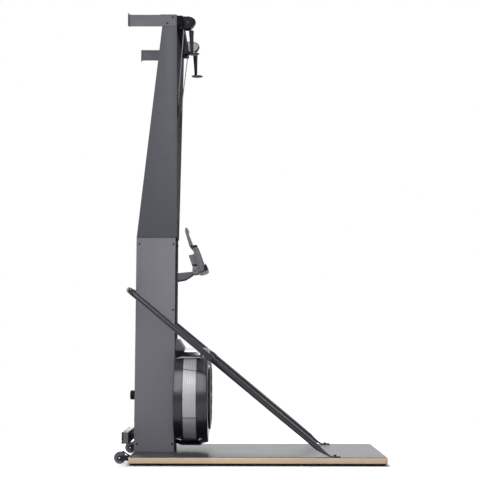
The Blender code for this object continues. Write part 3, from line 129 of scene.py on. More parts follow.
class Graph(NodeMaker):
    """The node tree of one material, with short ways to add what the finishes share."""

    def __init__(self, name: str) -> None:
        """Start a material, with patterns that lie on the object.

        Args:
            name: The material's name.
        """
        self.material = bpy.data.materials.new(name)
        self.material.use_nodes = True
        super().__init__(self.material.node_tree)
        self.shader = self.tree.nodes["Principled BSDF"]
        self.place = self.add("ShaderNodeTexCoord").outputs["Object"]

    def noise(self, scale: float, detail: float = 2.0, stretch: Point3 = (1, 1, 1),
              distortion: float = 0.0) -> Socket:
        """Add a noise pattern.

        Args:
            scale: Features per metre, roughly.
            detail: Octaves of finer noise.
            stretch: Scale of the coordinates along each axis.
            distortion: How much the pattern bends.

        Returns:
            The noise's value.
        """
        stretched = self.add("ShaderNodeMapping", {"Scale": stretch, "Vector": self.place}).outputs["Vector"]
        inputs = {"Scale": scale, "Detail": detail, "Distortion": distortion, "Vector": stretched}
        return self.add("ShaderNodeTexNoise", inputs).outputs["Fac"]

    def cells(self, scale: float) -> Socket:
        """Add a cell pattern and give the distance to each cell's middle."""
        return self.add("ShaderNodeTexVoronoi", {"Scale": scale, "Vector": self.place}).outputs["Distance"]

    def bands(self, scale: float, axis: str, source: Socket | None = None) -> Socket:
        """Add sine bands across one axis of the place, or of other coordinates."""
        inputs = {"Scale": scale, "Vector": source or self.place}
        return self.add("ShaderNodeTexWave", inputs, bands_direction=axis).outputs["Fac"]

    def level(self, source: Socket, low: float, high: float, start: float = 0.0, end: float = 1.0) -> Socket:
        """Map a value in the range of start to end to one of low to high, held at its ends."""
        inputs = {"Value": source, "From Min": start, "From Max": end, "To Min": low, "To Max": high}
        return self.add("ShaderNodeMapRange", inputs).outputs["Result"]

    def mixed(self, share: Socket, first: Socket | Colour, second: Socket | Colour) -> Socket:
        """Mix two colours, by the second one's share."""
        a, b = (side if isinstance(side, Socket) else (*side, 1.0) for side in (first, second))
        return self.add("ShaderNodeMix", {"Factor": share, 6: a, 7: b}, data_type="RGBA").outputs[2]

    def toned(self, pattern: Socket, colour: Colour, tones: Span) -> Socket:
        """Vary a colour over a pattern, between two multiples of itself."""
        return self.mixed(pattern, scaled(colour, tones[0]), scaled(colour, tones[1]))

    def spotted(self, pattern: Socket, base: Socket | Colour, colour: Colour, most: float,
                span: Span) -> Socket:
        """Lay spots of a colour on a base, up to a share of most, where a pattern rises over a span."""
        return self.mixed(self.level(pattern, 0.0, most, *span), base, colour)

    def part(self, axis: str) -> Socket:
        """Give one coordinate of the place."""
        return self.add("ShaderNodeSeparateXYZ", {"Vector": self.place}).outputs[axis]

    def bump(self, source: Socket, depth: float, under: Socket | None = None) -> Socket:
        """Turn a height of 0 to 1 into a normal, with relief of a depth in metres, over other relief."""
        inputs = {"Distance": depth, "Height": source} | ({"Normal": under} if under else {})
        return self.add("ShaderNodeBump", inputs).outputs["Normal"]

    def finish(self, colour: Socket, roughness: Socket, normal: Socket, **fixed: float) -> Material:
        """Feed the shader and give the material.

        Args:
            colour: Base colour.
            roughness: Roughness.
            normal: Normal.
            **fixed: Values of other sockets, with underscores for spaces.

        Returns:
            The material.
        """
        for key, socket in (("Base Color", colour), ("Roughness", roughness), ("Normal", normal)):
            self.tree.links.new(socket, self.shader.inputs[key])
        for key, value in fixed.items():
            self.shader.inputs[key.replace("_", " ")].default_value = value
        return self.material


@dataclass(frozen=True)
class Finish:
    """What each finish has: its name, the record's slot, its colour and a way to make its material."""

    name: str
    slot: str
    colour: Colour

    def build(self) -> Material:
        """Make the material."""
        raise NotImplementedError


@dataclass(frozen=True)
class PowderCoat(Finish):
    """Satin powder coat with fine orange peel, faint mottling and a little dust near the floor."""

    roughness: float = 0.42
    peel: float = 0.00006
    dust: float = 0.2
    shine: float = 0.35
    tones: Span = (0.94, 1.06)
    fleck: float = 1.7
    dust_colour: Colour = srgb(150, 146, 140)
    dust_heights: Span = (0.03, 0.16)

    def build(self) -> Material:
        """Make the material.

        Returns:
            The material.
        """
        graph = Graph(self.name)
        mottled = graph.toned(graph.noise(4.0, 5.0), self.colour, self.tones)
        fleck = scaled(self.colour, self.fleck)
        fine = graph.spotted(graph.noise(1900.0, 1.0), mottled, fleck, 0.22, (0.45, 0.8))
        low = graph.level(graph.part("Z"), self.dust, 0.0, *self.dust_heights)
        settled = graph.combined("MULTIPLY", low, graph.noise(30.0, 4.0))
        dusty = graph.mixed(settled, fine, self.dust_colour)
        cloud = graph.noise(18.0, 4.0)
        roughness = graph.level(cloud, self.roughness - 0.05, self.roughness + 0.07, 0.3, 0.7)
        peel = graph.bump(graph.noise(850.0, 2.0), self.peel)
        return graph.finish(dusty, roughness, peel, Specular_IOR_Level=self.shine)


@dataclass(frozen=True)
class MouldedPlastic(Finish):
    """Moulded plastic with a fine spark-eroded grain."""

    roughness: float = 0.45
    grain: float = 0.00005
    shine: float = 0.35
    wear: float = 0.1
    tones: Span = (0.88, 1.14)
    rubbed: float = 2.2
    unevenness: float = 0.14

    def build(self) -> Material:
        """Make the material.

        Returns:
            The material.
        """
        graph = Graph(self.name)
        tone = graph.toned(graph.noise(9.0, 4.0), self.colour, self.tones)
        rubbing = graph.noise(60.0, 5.0, distortion=1.2)
        worn = graph.spotted(rubbing, tone, scaled(self.colour, self.rubbed), self.wear, (0.62, 0.8))
        swing = self.roughness * self.unevenness
        cloud = graph.noise(35.0, 3.0)
        roughness = graph.level(cloud, self.roughness - swing, self.roughness + swing, 0.3, 0.7)
        grain = graph.bump(graph.cells(1500.0), self.grain)
        return graph.finish(worn, roughness, grain, Specular_IOR_Level=self.shine)


@dataclass(frozen=True)
class Rubber(Finish):
    """Matt rubber with a soft bloom and a dense fine grain."""

    roughness: float = 0.72
    bloom: float = 1.9
    grain: float = 0.0001
    shine: float = 0.25

    def build(self) -> Material:
        """Make the material.

        Returns:
            The material.
        """
        graph = Graph(self.name)
        bloom = scaled(self.colour, self.bloom)
        colour = graph.spotted(graph.noise(14.0, 5.0), self.colour, bloom, 0.3, (0.4, 0.75))
        roughness = graph.level(graph.noise(40.0, 2.0), self.roughness - 0.08, self.roughness + 0.08)
        grain = graph.bump(graph.noise(1400.0, 3.0), self.grain)
        return graph.finish(colour, roughness, grain, Specular_IOR_Level=self.shine)


@dataclass(frozen=True)
class LacqueredPlywood(Finish):
    """Birch plywood under clear lacquer: thin plies on the edge and long grain on the faces."""

    dark: Colour
    plies: int = 9
    thickness: float = 0.026
    grain_stretch: Point3 = (1.0, 9.0, 30.0)
    pore_stretch: Point3 = (1.0, 1.0, 0.35)
    ply_shade: float = 0.72
    pore_shade: float = 0.55
    coat: float = 0.25

    def build(self) -> Material:
        """Make the material.

        Returns:
            The material.
        """
        graph = Graph(self.name)
        # A light and a dark ply make one wave
        ply = graph.bands(self.plies / 2 / self.thickness * tau / WAVE_RATE, "Z")
        grain = graph.noise(26.0, 6.0, self.grain_stretch, 0.6)
        pores = graph.noise(420.0, 3.0, self.pore_stretch)
        wood = graph.spotted(grain, self.colour, self.dark, 1.0, (0.3, 0.7))
        layered = graph.spotted(ply, wood, scaled(self.dark, self.ply_shade), 0.34, (0.25, 0.8))
        pored = graph.spotted(pores, layered, scaled(self.dark, self.pore_shade), 0.35, (0.55, 0.8))
        roughness = graph.level(grain, 0.38, 0.55)
        relief = graph.bump(pores, 0.00006, graph.bump(ply, 0.00008))
        return graph.finish(pored, roughness, relief, Coat_Weight=self.coat, Coat_Roughness=self.coat)


@dataclass(frozen=True)
class DeckCovering(Finish):
    """Grey satin sheet with fine flecks, a faint pebbled grip and faint scuffs where feet land."""

    roughness: float = 0.3
    tones: Span = (0.93, 1.07)
    flecks: Span = (0.75, 1.3)
    scuff: float = 1.25
    pebble: float = 0.000006
    shine: float = 0.34

    def build(self) -> Material:
        """Make the material.

        Returns:
            The material.
        """
        graph = Graph(self.name)
        colour = graph.toned(graph.noise(5.0, 5.0), self.colour, self.tones)
        for pattern, shade, most, span in (
            (graph.noise(700.0, 1.0), self.flecks[0], 0.5, (0.6, 0.72)),
            (graph.noise(640.0, 1.0, (1.0, 1.3, 1.0)), self.flecks[1], 0.5, (0.62, 0.74)),
            (graph.noise(9.0, 6.0, (1.0, 3.0, 1.0), 1.5), self.scuff, 0.22, (0.58, 0.72)),
        ):
            colour = graph.spotted(pattern, colour, scaled(self.colour, shade), most, span)
        roughness = graph.level(graph.noise(80.0, 3.0), self.roughness - 0.04, self.roughness + 0.05)
        pebbles = graph.bump(graph.cells(330.0), self.pebble)
        return graph.finish(colour, roughness, pebbles, Specular_IOR_Level=self.shine)


@dataclass(frozen=True)
class PlatedMetal(Finish):
    """Plated or raw metal, brushed along one axis, with faint handling marks."""

    roughness: float = 0.34
    brush: Point3 = (1.0, 18.0, 18.0)
    metallic: float = 1.0
    tones: Span = (0.86, 1.1)
    mark: float = 0.7
    relief: float = 0.00003

    def build(self) -> Material:
        """Make the material.

        Returns:
            The material.
        """
        graph = Graph(self.name)
        brushed = graph.noise(160.0, 4.0, self.brush)
        marks = graph.noise(22.0, 5.0, distortion=0.8)
        tone = graph.toned(brushed, self.colour, self.tones)
        colour = graph.spotted(marks, tone, scaled(self.colour, self.mark), 0.25, (0.55, 0.8))
        roughness = graph.level(marks, self.roughness - 0.08, self.roughness + 0.12, 0.3, 0.75)
        relief = graph.bump(brushed, self.relief)
        return graph.finish(colour, roughness, relief, Metallic=self.metallic)


@dataclass(frozen=True)
class BraidedCord(Finish):
    """Braided cord: two sets of strands that cross, laid on the cord's own map."""

    turns_across: float = 4.0
    turns_along: float = 17.5
    lean: float = radians(38)
    strand_scale: float = 1.1
    groove: float = 0.55
    relief: float = 0.00025

    def build(self) -> Material:
        """Make the material.

        Returns:
            The material.
        """
        graph = Graph(self.name)
        laid = graph.add("ShaderNodeUVMap", uv_map=CORD_MAP).outputs["UV"]
        strands = []
        for way in (1, -1):
            inputs = {"Vector": laid, "Scale": (self.turns_across, self.turns_along, 1.0),
                      "Rotation": (0.0, 0.0, way * self.lean)}
            crossed = graph.add("ShaderNodeMapping", inputs).outputs["Vector"]
            strands.append(graph.bands(self.strand_scale, "X", crossed))
        braid = graph.combined("MULTIPLY", *strands)
        colour = graph.toned(braid, self.colour, (self.groove, 1.0))
        roughness = graph.level(graph.noise(300.0), 0.65, 0.85)
        return graph.finish(colour, roughness, graph.bump(braid, self.relief), Sheen_Weight=0.2)


@dataclass(frozen=True)
class DisplayLens(Finish):
    """Clear glossy lens over a grey display that is off, with faint fingerprints; the display is painted
    lighter towards its top, as painted light from above.
    """

    tones: Span = (0.8, 1.0)
    heights: Span = (0.94, 1.04)
    dot: float = 0.7

    def build(self) -> Material:
        """Make the material.

        Returns:
            The material.
        """
        graph = Graph(self.name)
        # Painted light: the display is darker at the bottom and lighter at the top, standing in for light
        # from above
        painted_light_rise = graph.level(graph.part("Z"), 0.0, 1.0, *self.heights)
        tone = graph.toned(painted_light_rise, self.colour, self.tones)
        colour = graph.spotted(graph.cells(900.0), tone, scaled(self.colour, self.dot), 0.15, (0.2, 0.6))
        prints = graph.level(graph.noise(90.0, 4.0, distortion=2.0), 0.05, 0.22, 0.45, 0.75)
        relief = graph.bump(graph.noise(700.0), 0.000004)
        return graph.finish(colour, prints, relief, Coat_Weight=1.0, Coat_Roughness=0.04)


@dataclass(frozen=True)
class Marking(Finish):
    """Printed marks, a little uneven where the ink lies on grain."""

    tones: Span = (0.85, 1.0)

    def build(self) -> Material:
        """Make the material.

        Returns:
            The material.
        """
        graph = Graph(self.name)
        colour = graph.toned(graph.noise(500.0, 3.0), self.colour, self.tones)
        roughness = graph.level(graph.noise(200.0), 0.45, 0.6)
        return graph.finish(colour, roughness, graph.bump(graph.cells(1500.0), 0.00003))


class Surface(Enum):
    """The finishes that the pieces have."""

    GREY_PAINT = PowderCoat("grey_powder_coat", "grey_paint", srgb(124, 124, 131), shine=0.15)
    # Painted shade: the grey powder coat made darker on the shroud's panels, standing in for the shade on its
    # flared sides
    SHROUD_PAINT = PowderCoat("shroud_powder_coat", "grey_paint", srgb(85, 85, 93), 0.4, shine=0.15)
    # Painted shade: the grey powder coat made darker on the wall arms, the monitor arm and the fan's hood,
    # standing in for their shade
    ARM_PAINT = PowderCoat("arm_powder_coat", "grey_paint", srgb(99, 99, 106), 0.42, shine=0.15)
    # Painted light: the dark powder coat made lighter on the front panels, standing in for light that the
    # lamps hardly give those faces
    FRONT_PAINT = PowderCoat("front_powder_coat", "dark_paint", srgb(40, 40, 45), 0.55, shine=0.01)
    # Dark powder coat; it also colours the strip that paints the shade under the monitor arm
    DARK_PAINT = PowderCoat("dark_powder_coat", "dark_paint", srgb(20, 20, 24), 0.5, shine=0.03)
    BRACE_PAINT = PowderCoat("brace_powder_coat", "dark_paint", srgb(32, 32, 44), 0.2, 0.00002, shine=0.38)
    PLYWOOD = LacqueredPlywood("lacquered_plywood", "wood_board", srgb(246, 219, 190), srgb(232, 199, 164))
    DECK = DeckCovering("deck_covering", "grey_covering", srgb(84, 84, 91))
    RUBBER = Rubber("black_rubber_grain", "black_rubber", srgb(22, 22, 24))
    GRIP = Rubber("grip_rubber", "black_rubber", srgb(24, 24, 28), 0.6)
    UNDERLAY = Rubber("underlay_rubber", "black_rubber", srgb(30, 26, 23), 0.85)
    BLACK_PLASTIC = MouldedPlastic("black_moulding", "black_plastic", srgb(14, 14, 18), 0.36, shine=0.08)
    CLIP_PLASTIC = MouldedPlastic("gloss_moulding", "black_plastic", srgb(10, 10, 13), 0.24, 0.00002, 0.1)
    RING_PLASTIC = MouldedPlastic("ring_moulding", "black_plastic", srgb(15, 15, 23), 0.24, 0.00001,
                                  shine=0.48, wear=0.02)
    COVER_PLASTIC = MouldedPlastic("cover_moulding", "black_plastic", srgb(14, 14, 20), 0.3, 0.00001,
                                   shine=0.22, wear=0.02)
    GREY_PLASTIC = MouldedPlastic("grey_moulding", "grey_plastic", srgb(112, 112, 118), 0.48, shine=0.2)
    # Pale plastic of the head inlays and small trims; it also colours thin plates that paint highlights on
    # the clips' ends and the bumper's top
    PALE_PLASTIC = MouldedPlastic("pale_moulding", "grey_plastic", srgb(196, 196, 202), 0.5)
    WHEEL_PLASTIC = MouldedPlastic("wheel_moulding", "black_plastic", srgb(106, 109, 119), 0.4, shine=0.2)
    ZINC = PlatedMetal("zinc_plate", "bright_steel", srgb(196, 198, 204))
    BLACK_BOLT = PlatedMetal("black_oxide_bolt", "bright_steel", srgb(34, 34, 38), 0.4, metallic=0.6)
    SCREEN = PlatedMetal("perforated_silver", "silver_mesh", srgb(210, 210, 214), 0.48, (1.0, 4.0, 4.0), 0.3)
    # Painted shade: a darker copy of the perforated silver for the lapped lower part of the band
    SCREEN_LAP = PlatedMetal("lapped_silver", "silver_mesh", srgb(186, 186, 192), 0.48, (1.0, 4.0, 4.0), 0.3)
    ROTOR = PlatedMetal("rotor_alloy", "grey_plastic", srgb(150, 150, 154), 0.5, (1.0, 4.0, 4.0), 0.2)
    CORD = BraidedCord("braided_cord", "pale_cord", srgb(205, 205, 208))
    LENS = DisplayLens("display_lens", "screen_glass", srgb(104, 112, 106))
    MARKS = Marking("printed_marks", "grey_plastic", srgb(205, 205, 205))


# Mesh building


def mesh_of(shape: BMesh, name: str) -> Mesh:
    """Weld a shape, turn its faces outwards and make it a mesh.

    Args:
        shape: The shape, which is freed.
        name: The mesh's name.

    Returns:
        The mesh.
    """
    bmesh.ops.remove_doubles(shape, verts=shape.verts, dist=WELD)
    bmesh.ops.recalc_face_normals(shape, faces=shape.faces)
    mesh = bpy.data.meshes.new(name)
    shape.to_mesh(mesh)
    shape.free()
    return mesh


def bridged(shape: BMesh, loops: Sequence[Sequence[BMVert]]) -> None:
    """Join each loop of points to the next with faces.

    Args:
        shape: The shape that holds the points.
        loops: Loops with the same number of points.
    """
    for lower, upper in zip(loops, loops[1:]):
        for step in range(len(lower)):
            after = (step + 1) % len(lower)
            shape.faces.new((lower[step], lower[after], upper[after], upper[step]))


def lofted(name: str, rings: Iterable[Iterable[Point3]]) -> Mesh:
    """Join rings of points into a shape that is capped at both ends.

    Args:
        name: The mesh's name.
        rings: Rings with the same number of points.

    Returns:
        The closed mesh.
    """
    shape = bmesh.new()
    loops = [[shape.verts.new(point) for point in ring] for ring in rings]
    bridged(shape, loops)
    shape.faces.new(loops[0])
    shape.faces.new(loops[-1])
    return mesh_of(shape, name)


def placed(name: str, data: ID) -> Object:
    """Put a new object in the scene.

    Args:
        name: Its name.
        data: Its mesh, curve, light or camera.

    Returns:
        The object.
    """
    made = bpy.data.objects.new(name, data)
    bpy.context.scene.collection.objects.link(made)
    return made


def baked(holder: Object, name: str) -> Mesh:
    """Give the mesh that an object has after its modifiers, and remove the object.

    Args:
        holder: The object.
        name: The mesh's name.

    Returns:
        The new mesh.
    """
    graph = bpy.context.evaluated_depsgraph_get()
    mesh = bpy.data.meshes.new_from_object(holder.evaluated_get(graph))
    mesh.name = name
    bpy.data.objects.remove(holder)
    return mesh


def smoothed(mesh: Mesh, angle: float = SMOOTH_ANGLE) -> Mesh:
    """Shade a mesh smooth, with its sharp edges kept.

    Args:
        mesh: The mesh.
        angle: The angle past which an edge is sharp, in radians.

    Returns:
        The same mesh.
    """
    mesh.shade_smooth()
    mesh.set_sharp_from_angle(angle=angle)
    return mesh


def axis_frame(axis: str) -> Matrix:
    """Give the turn that takes local Z to an axis, as the CAD source does.

    Args:
        axis: The axis's letter.

    Returns:
        The turn.
    """
    return {
        "X": Matrix(((0, 0, 1), (1, 0, 0), (0, 1, 0))),
        "Y": Matrix(((1, 0, 0), (0, 0, -1), (0, 1, 0))),
        "Z": Matrix.Identity(3),
    }[axis].to_4x4()


def turned(name: str, profile: Sequence[Point2], centre: Point3, axis: str = "X",
           steps: int = TURNED_STEPS) -> Mesh:
    """Turn a closed profile about an axis.

    Args:
        name: The mesh's name.
        profile: Points of (radius, height) in order round the section.
        centre: A point on the axis.
        axis: The axis's letter.
        steps: Steps round the axis.

    Returns:
        The closed mesh.
    """
    shape = bmesh.new()
    rings = []
    for step in range(steps):
        angle = tau * step / steps
        rings.append([shape.verts.new((radius * cos(angle), radius * sin(angle), height))
                      for radius, height in profile])
    count = len(profile)
    for step in range(steps):
        ring, after = rings[step], rings[(step + 1) % steps]
        for index in range(count):
            nxt = (index + 1) % count
            if profile[index][0] < 1e-7 and profile[nxt][0] < 1e-7:
                continue
            shape.faces.new((ring[index], ring[nxt], after[nxt], after[index]))
    bmesh.ops.remove_doubles(shape, verts=shape.verts, dist=WELD)
    shape.transform(Matrix.Translation(centre) @ axis_frame(axis))
    return smoothed(mesh_of(shape, name))


def slab(name: str, outline: Sequence[Point2], low: float, high: float, axis: str) -> Mesh:
    """Extrude an outline along an axis.

    Args:
        name: The mesh's name.
        outline: Points of (y, z) along X, of (x, z) along Y and of (x, y) along Z.
        low: Where it starts on the axis.
        high: Where it ends on the axis.
        axis: The axis's letter.

    Returns:
        The closed mesh.
    """
    shape = bmesh.new()
    base = [shape.verts.new((across, up, 0)) for across, up in outline]
    top = [shape.verts.new((across, up, high - low)) for across, up in outline]
    shape.faces.new(base)
    shape.faces.new(top)
    for index in range(len(base)):
        after = (index + 1) % len(base)
        shape.faces.new((base[index], base[after], top[after], top[index]))
    start = -high if axis == "Y" else low
    lift = Vector((0, 0, start))
    shape.transform(axis_frame(axis) @ Matrix.Translation(lift))
    return mesh_of(shape, name)


def block(name: str, low: Point3, high: Point3) -> Mesh:
    """Make a box from two corners."""
    outline = ((low[0], low[1]), (high[0], low[1]), (high[0], high[1]), (low[0], high[1]))
    return slab(name, outline, low[2], high[2], "Z")


def ring_frames(points: Sequence[Vector]) -> list[tuple[Vector, Vector]]:
    """Give two steady cross directions at each point of a path.

    Args:
        points: The path.

    Returns:
        A pair of directions for each point.
    """
    frames = []
    side = Vector((0, 0, 0))
    last = len(points) - 1
    for index in range(len(points)):
        ahead = (points[min(index + 1, last)] - points[max(index - 1, 0)]).normalized()
        if index == 0:
            # Any direction that isn't nearly along the path can start the frames
            seed = Vector((0, 1, 0)) if abs(ahead.y) < 0.9 else Vector((1, 0, 0))
            side = ahead.cross(seed).normalized()
        else:
            side = (side - ahead * side.dot(ahead)).normalized()
        frames.append((side.copy(), ahead.cross(side)))
    return frames


def pipe(name: str, points: Iterable[Sequence[float]], radius: float, sides: int = 12,
         closed: bool = False) -> Mesh:
    """Sweep a round section along points, with a map that runs along it in metres.

    Args:
        name: The mesh's name.
        points: The middle line.
        radius: The section's radius.
        sides: Sides of the section.
        closed: Whether the line is a loop.

    Returns:
        The mesh, capped where the line is open.
    """
    line = [Vector(point) for point in points]
    if closed:
        line.append(line[0].copy())
    shape = bmesh.new()
    layer = shape.loops.layers.uv.new(CORD_MAP)
    rings, reach = [], [0.0]
    for point, (side, over) in zip(line, ring_frames(line)):
        rings.append([shape.verts.new(point + side * (radius * cos(tau * step / sides))
                                      + over * (radius * sin(tau * step / sides)))
                      for step in range(sides)])
    for before, after in zip(line, line[1:]):
        reach.append(reach[-1] + (after - before).length)
    for index in range(len(line) - 1):
        for step in range(sides):
            after = (step + 1) % sides
            face = shape.faces.new((rings[index][step], rings[index][after], rings[index + 1][after],
                                    rings[index + 1][step]))
            across = (step / sides, (step + 1) / sides, (step + 1) / sides, step / sides)
            along = (reach[index], reach[index], reach[index + 1], reach[index + 1])
            for loop, u, v in zip(face.loops, across, along):
                loop[layer].uv = (u, v)
    if not closed:
        shape.faces.new(rings[0])
        shape.faces.new(rings[-1])
    return smoothed(mesh_of(shape, name))


def arc(centre: Point2, radius: float, start: float, end: float, steps: int) -> list[Point2]:
    """Give points on an arc, with its angles in degrees."""
    turn = [radians(start + (end - start) * step / steps) for step in range(steps + 1)]
    return [(centre[0] + radius * cos(a), centre[1] + radius * sin(a)) for a in turn]


def rounded_rectangle(low: Point2, high: Point2, radius: float, steps: int = 6) -> list[Point2]:
    """Give a rectangle's outline with round corners.

    Args:
        low: The corner with the smallest coordinates.
        high: The opposite corner.
        radius: The corners' radius.
        steps: Steps round each corner.

    Returns:
        The outline's points.
    """
    corners = ((high[0], high[1], 0), (low[0], high[1], 90), (low[0], low[1], 180), (high[0], low[1], 270))
    points: list[Point2] = []
    for x, y, start in corners:
        centre = (x + (radius if x == low[0] else -radius), y + (radius if y == low[1] else -radius))
        points += arc(centre, radius, start, start + 90, steps)
    return points


def facing(direction: Sequence[float], spin: float = 0.0) -> Euler:
    """Give the turn that takes local Z to a direction, after a spin in degrees about Z."""
    turn = Vector(direction).to_track_quat("Z", "Y").to_matrix()
    return (turn @ Matrix.Rotation(radians(spin), 3, "Z")).to_euler()


@dataclass(frozen=True)
class Spot:
    """Where one copy of a repeated shape goes."""

    at: Point3
    turn: Euler
    size: Point3 = (1.0, 1.0, 1.0)


class CopyTree(NodeMaker):
    """The node tree that puts copies of one shape on points."""

    def __init__(self) -> None:
        """Build the tree: a copy on each point of a mesh, made real and given its finish."""
        super().__init__(bpy.data.node_groups.new("placed_copies", "GeometryNodeTree"))
        self.sockets = {}
        for name, kind in (("Geometry", "Geometry"), ("Pattern", "Object"), ("Size", "Float"),
                           ("Finish", "Material")):
            socket = self.tree.interface.new_socket(name, in_out="INPUT", socket_type=f"NodeSocket{kind}")
            self.sockets[name] = socket.identifier
        self.tree.interface.new_socket("Geometry", in_out="OUTPUT", socket_type="NodeSocketGeometry")
        given = self.add("NodeGroupInput").outputs
        points = self.add("GeometryNodeMeshToPoints", {"Mesh": given["Geometry"]})
        pattern = self.add("GeometryNodeObjectInfo", {"Object": given["Pattern"]})
        turn, size = (self._attribute(name) for name in ("turn", "size"))
        scale = self.add("ShaderNodeVectorMath", operation="SCALE")
        self.tree.links.new(size, scale.inputs[0])
        self.tree.links.new(given["Size"], scale.inputs["Scale"])
        copies = self.add("GeometryNodeInstanceOnPoints", {
            "Points": points.outputs["Points"], "Instance": pattern.outputs["Geometry"], "Rotation": turn,
            "Scale": scale.outputs["Vector"]})
        real = self.add("GeometryNodeRealizeInstances", {"Geometry": copies.outputs["Instances"]})
        inputs = {"Geometry": real.outputs["Geometry"], "Material": given["Finish"]}
        dressed = self.add("GeometryNodeSetMaterial", inputs)
        self.add("NodeGroupOutput", {"Geometry": dressed.outputs["Geometry"]})

    def _attribute(self, name: str) -> Socket:
        """Read a vector that is stored on the points."""
        node = self.add("GeometryNodeInputNamedAttribute", {"Name": name}, data_type="FLOAT_VECTOR")
        return node.outputs["Attribute"]


class Workshop:
    """Makes meshes into finished pieces that ride on the frame's bodies."""

    def __init__(self) -> None:
        """Find where the platform's rear edge is and how high the levels are."""
        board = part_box("platform_board")[0]
        self.rear = board.x
        self.rise = board.z - BOARD_LOW
        self.materials: dict[Surface, Material] = {}
        self.copy_tree = CopyTree()

    def at(self, x: float, y: float, z: float) -> Point3:
        """Give the place of a point written from the platform's rear edge."""
        return (self.rear + x, y, self.rise + z)

    def flat(self, x: float, z: float) -> Point2:
        """Give a point of an outline that is extruded along Y."""
        return (self.rear + x, self.rise + z)

    def material(self, surface: Surface) -> Material:
        """Give a finish's material, made once.

        Args:
            surface: The finish.

        Returns:
            Its material.
        """
        if surface not in self.materials:
            self.materials[surface] = surface.value.build()
        return self.materials[surface]

    def dress(self, surface: Surface, *nodes: str) -> None:
        """Give a finish to CAD nodes that stay.

        Args:
            surface: The finish.
            *nodes: The nodes' names.
        """
        for node in nodes:
            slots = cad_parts[node].data.materials
            slots.clear()
            slots.append(self.material(surface))

    def piece(self, name: str, mesh: Mesh, surface: Surface, body: str = "frame",
              stands_for: Sequence[str] = ()) -> Object:
        """Make a piece and let it ride on a body.

        Args:
            name: The piece's name.
            mesh: Its mesh, in place.
            surface: Its finish.
            body: The body that it rides on.
            stands_for: CAD nodes that it replaces.

        Returns:
            The piece.
        """
        made = placed(name, mesh)
        mesh.materials.clear()
        mesh.materials.append(self.material(surface))
        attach(made, body)
        if stands_for:
            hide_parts(*stands_for)
        LOG.info("%s: %d faces on %s", name, len(mesh.polygons), body)
        return made

    def eased(self, name: str, mesh: Mesh, width: float, segments: int = 3) -> Mesh:
        """Round the sharp edges of a mesh.

        Args:
            name: The new mesh's name.
            mesh: The mesh to start from.
            width: The width of the rounding.
            segments: Steps in the rounding.

        Returns:
            The new mesh.
        """
        mesh.shade_smooth()
        holder = placed(f"{name}_holder", mesh)
        bevel = holder.modifiers.new("bevel", "BEVEL")
        bevel.width = width
        bevel.segments = segments
        bevel.limit_method = "ANGLE"
        bevel.angle_limit = BEVEL_ANGLE
        bevel.harden_normals = True
        bevel.use_clamp_overlap = True
        bevel.miter_outer = "MITER_ARC"
        return baked(holder, name)

    def copied(self, node: str, name: str) -> Mesh:
        """Weld a copy of a CAD node's mesh, with its flat faces whole.

        Args:
            node: The node.
            name: The copy's name.

        Returns:
            The copy.
        """
        shape = bmesh.new()
        shape.from_mesh(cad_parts[node].data)
        bmesh.ops.remove_doubles(shape, verts=shape.verts, dist=CAD_WELD)
        bmesh.ops.dissolve_limit(shape, angle_limit=FLAT_ANGLE, verts=shape.verts, edges=shape.edges)
        mesh = bpy.data.meshes.new(name)
        shape.to_mesh(mesh)
        shape.free()
        return mesh

    def rounded(self, node: str, name: str, surface: Surface, width: float, segments: int = 3,
                body: str = "frame") -> Object:
        """Stand a copy with rounded edges in a CAD node's place.

        Args:
            node: The CAD node.
            name: The piece's name.
            surface: Its finish.
            width: The width of the rounding.
            segments: Steps in the rounding.
            body: The body that the node is on.

        Returns:
            The piece.
        """
        mesh = self.eased(name, self.copied(node, name), width, segments)
        return self.piece(name, mesh, surface, body, (node,))

    def copies(self, name: str, pattern: Mesh, spots: Sequence[Spot], surface: Surface,
               body: str = "frame") -> Object:
        """Put copies of a shape at spots, as one piece.

        Args:
            name: The piece's name.
            pattern: The repeated shape, about its own origin with +Z outwards.
            spots: Where the copies go.
            surface: Their finish.
            body: The body that they ride on.

        Returns:
            The piece.
        """
        source = bpy.data.objects.new(f"{name}_pattern", pattern)
        points = bpy.data.meshes.new(f"{name}_points")
        points.from_pydata([spot.at for spot in spots], [], [])
        for key, values in (("turn", [tuple(spot.turn) for spot in spots]),
                            ("size", [spot.size for spot in spots])):
            attribute = points.attributes.new(key, "FLOAT_VECTOR", "POINT")
            attribute.data.foreach_set("vector", [number for value in values for number in value])
        holder = placed(f"{name}_holder", points)
        modifier = holder.modifiers.new("copies", "NODES")
        modifier.node_group = self.copy_tree.tree
        modifier[self.copy_tree.sockets["Pattern"]] = source
        modifier[self.copy_tree.sockets["Size"]] = 1.0
        modifier[self.copy_tree.sockets["Finish"]] = self.material(surface)
        mesh = baked(holder, name)
        bpy.data.objects.remove(source)
        return self.piece(name, smoothed(mesh), surface, body)


# Fasteners


class Fastener(Enum):
    """The kinds of screw head on the object."""

    BUTTON = "button"
    HEX = "hex"


class Section(Enum):
    """The shapes that a level of a screw head has."""

    ROUND = "round"
    HEXAGON = "hexagon"


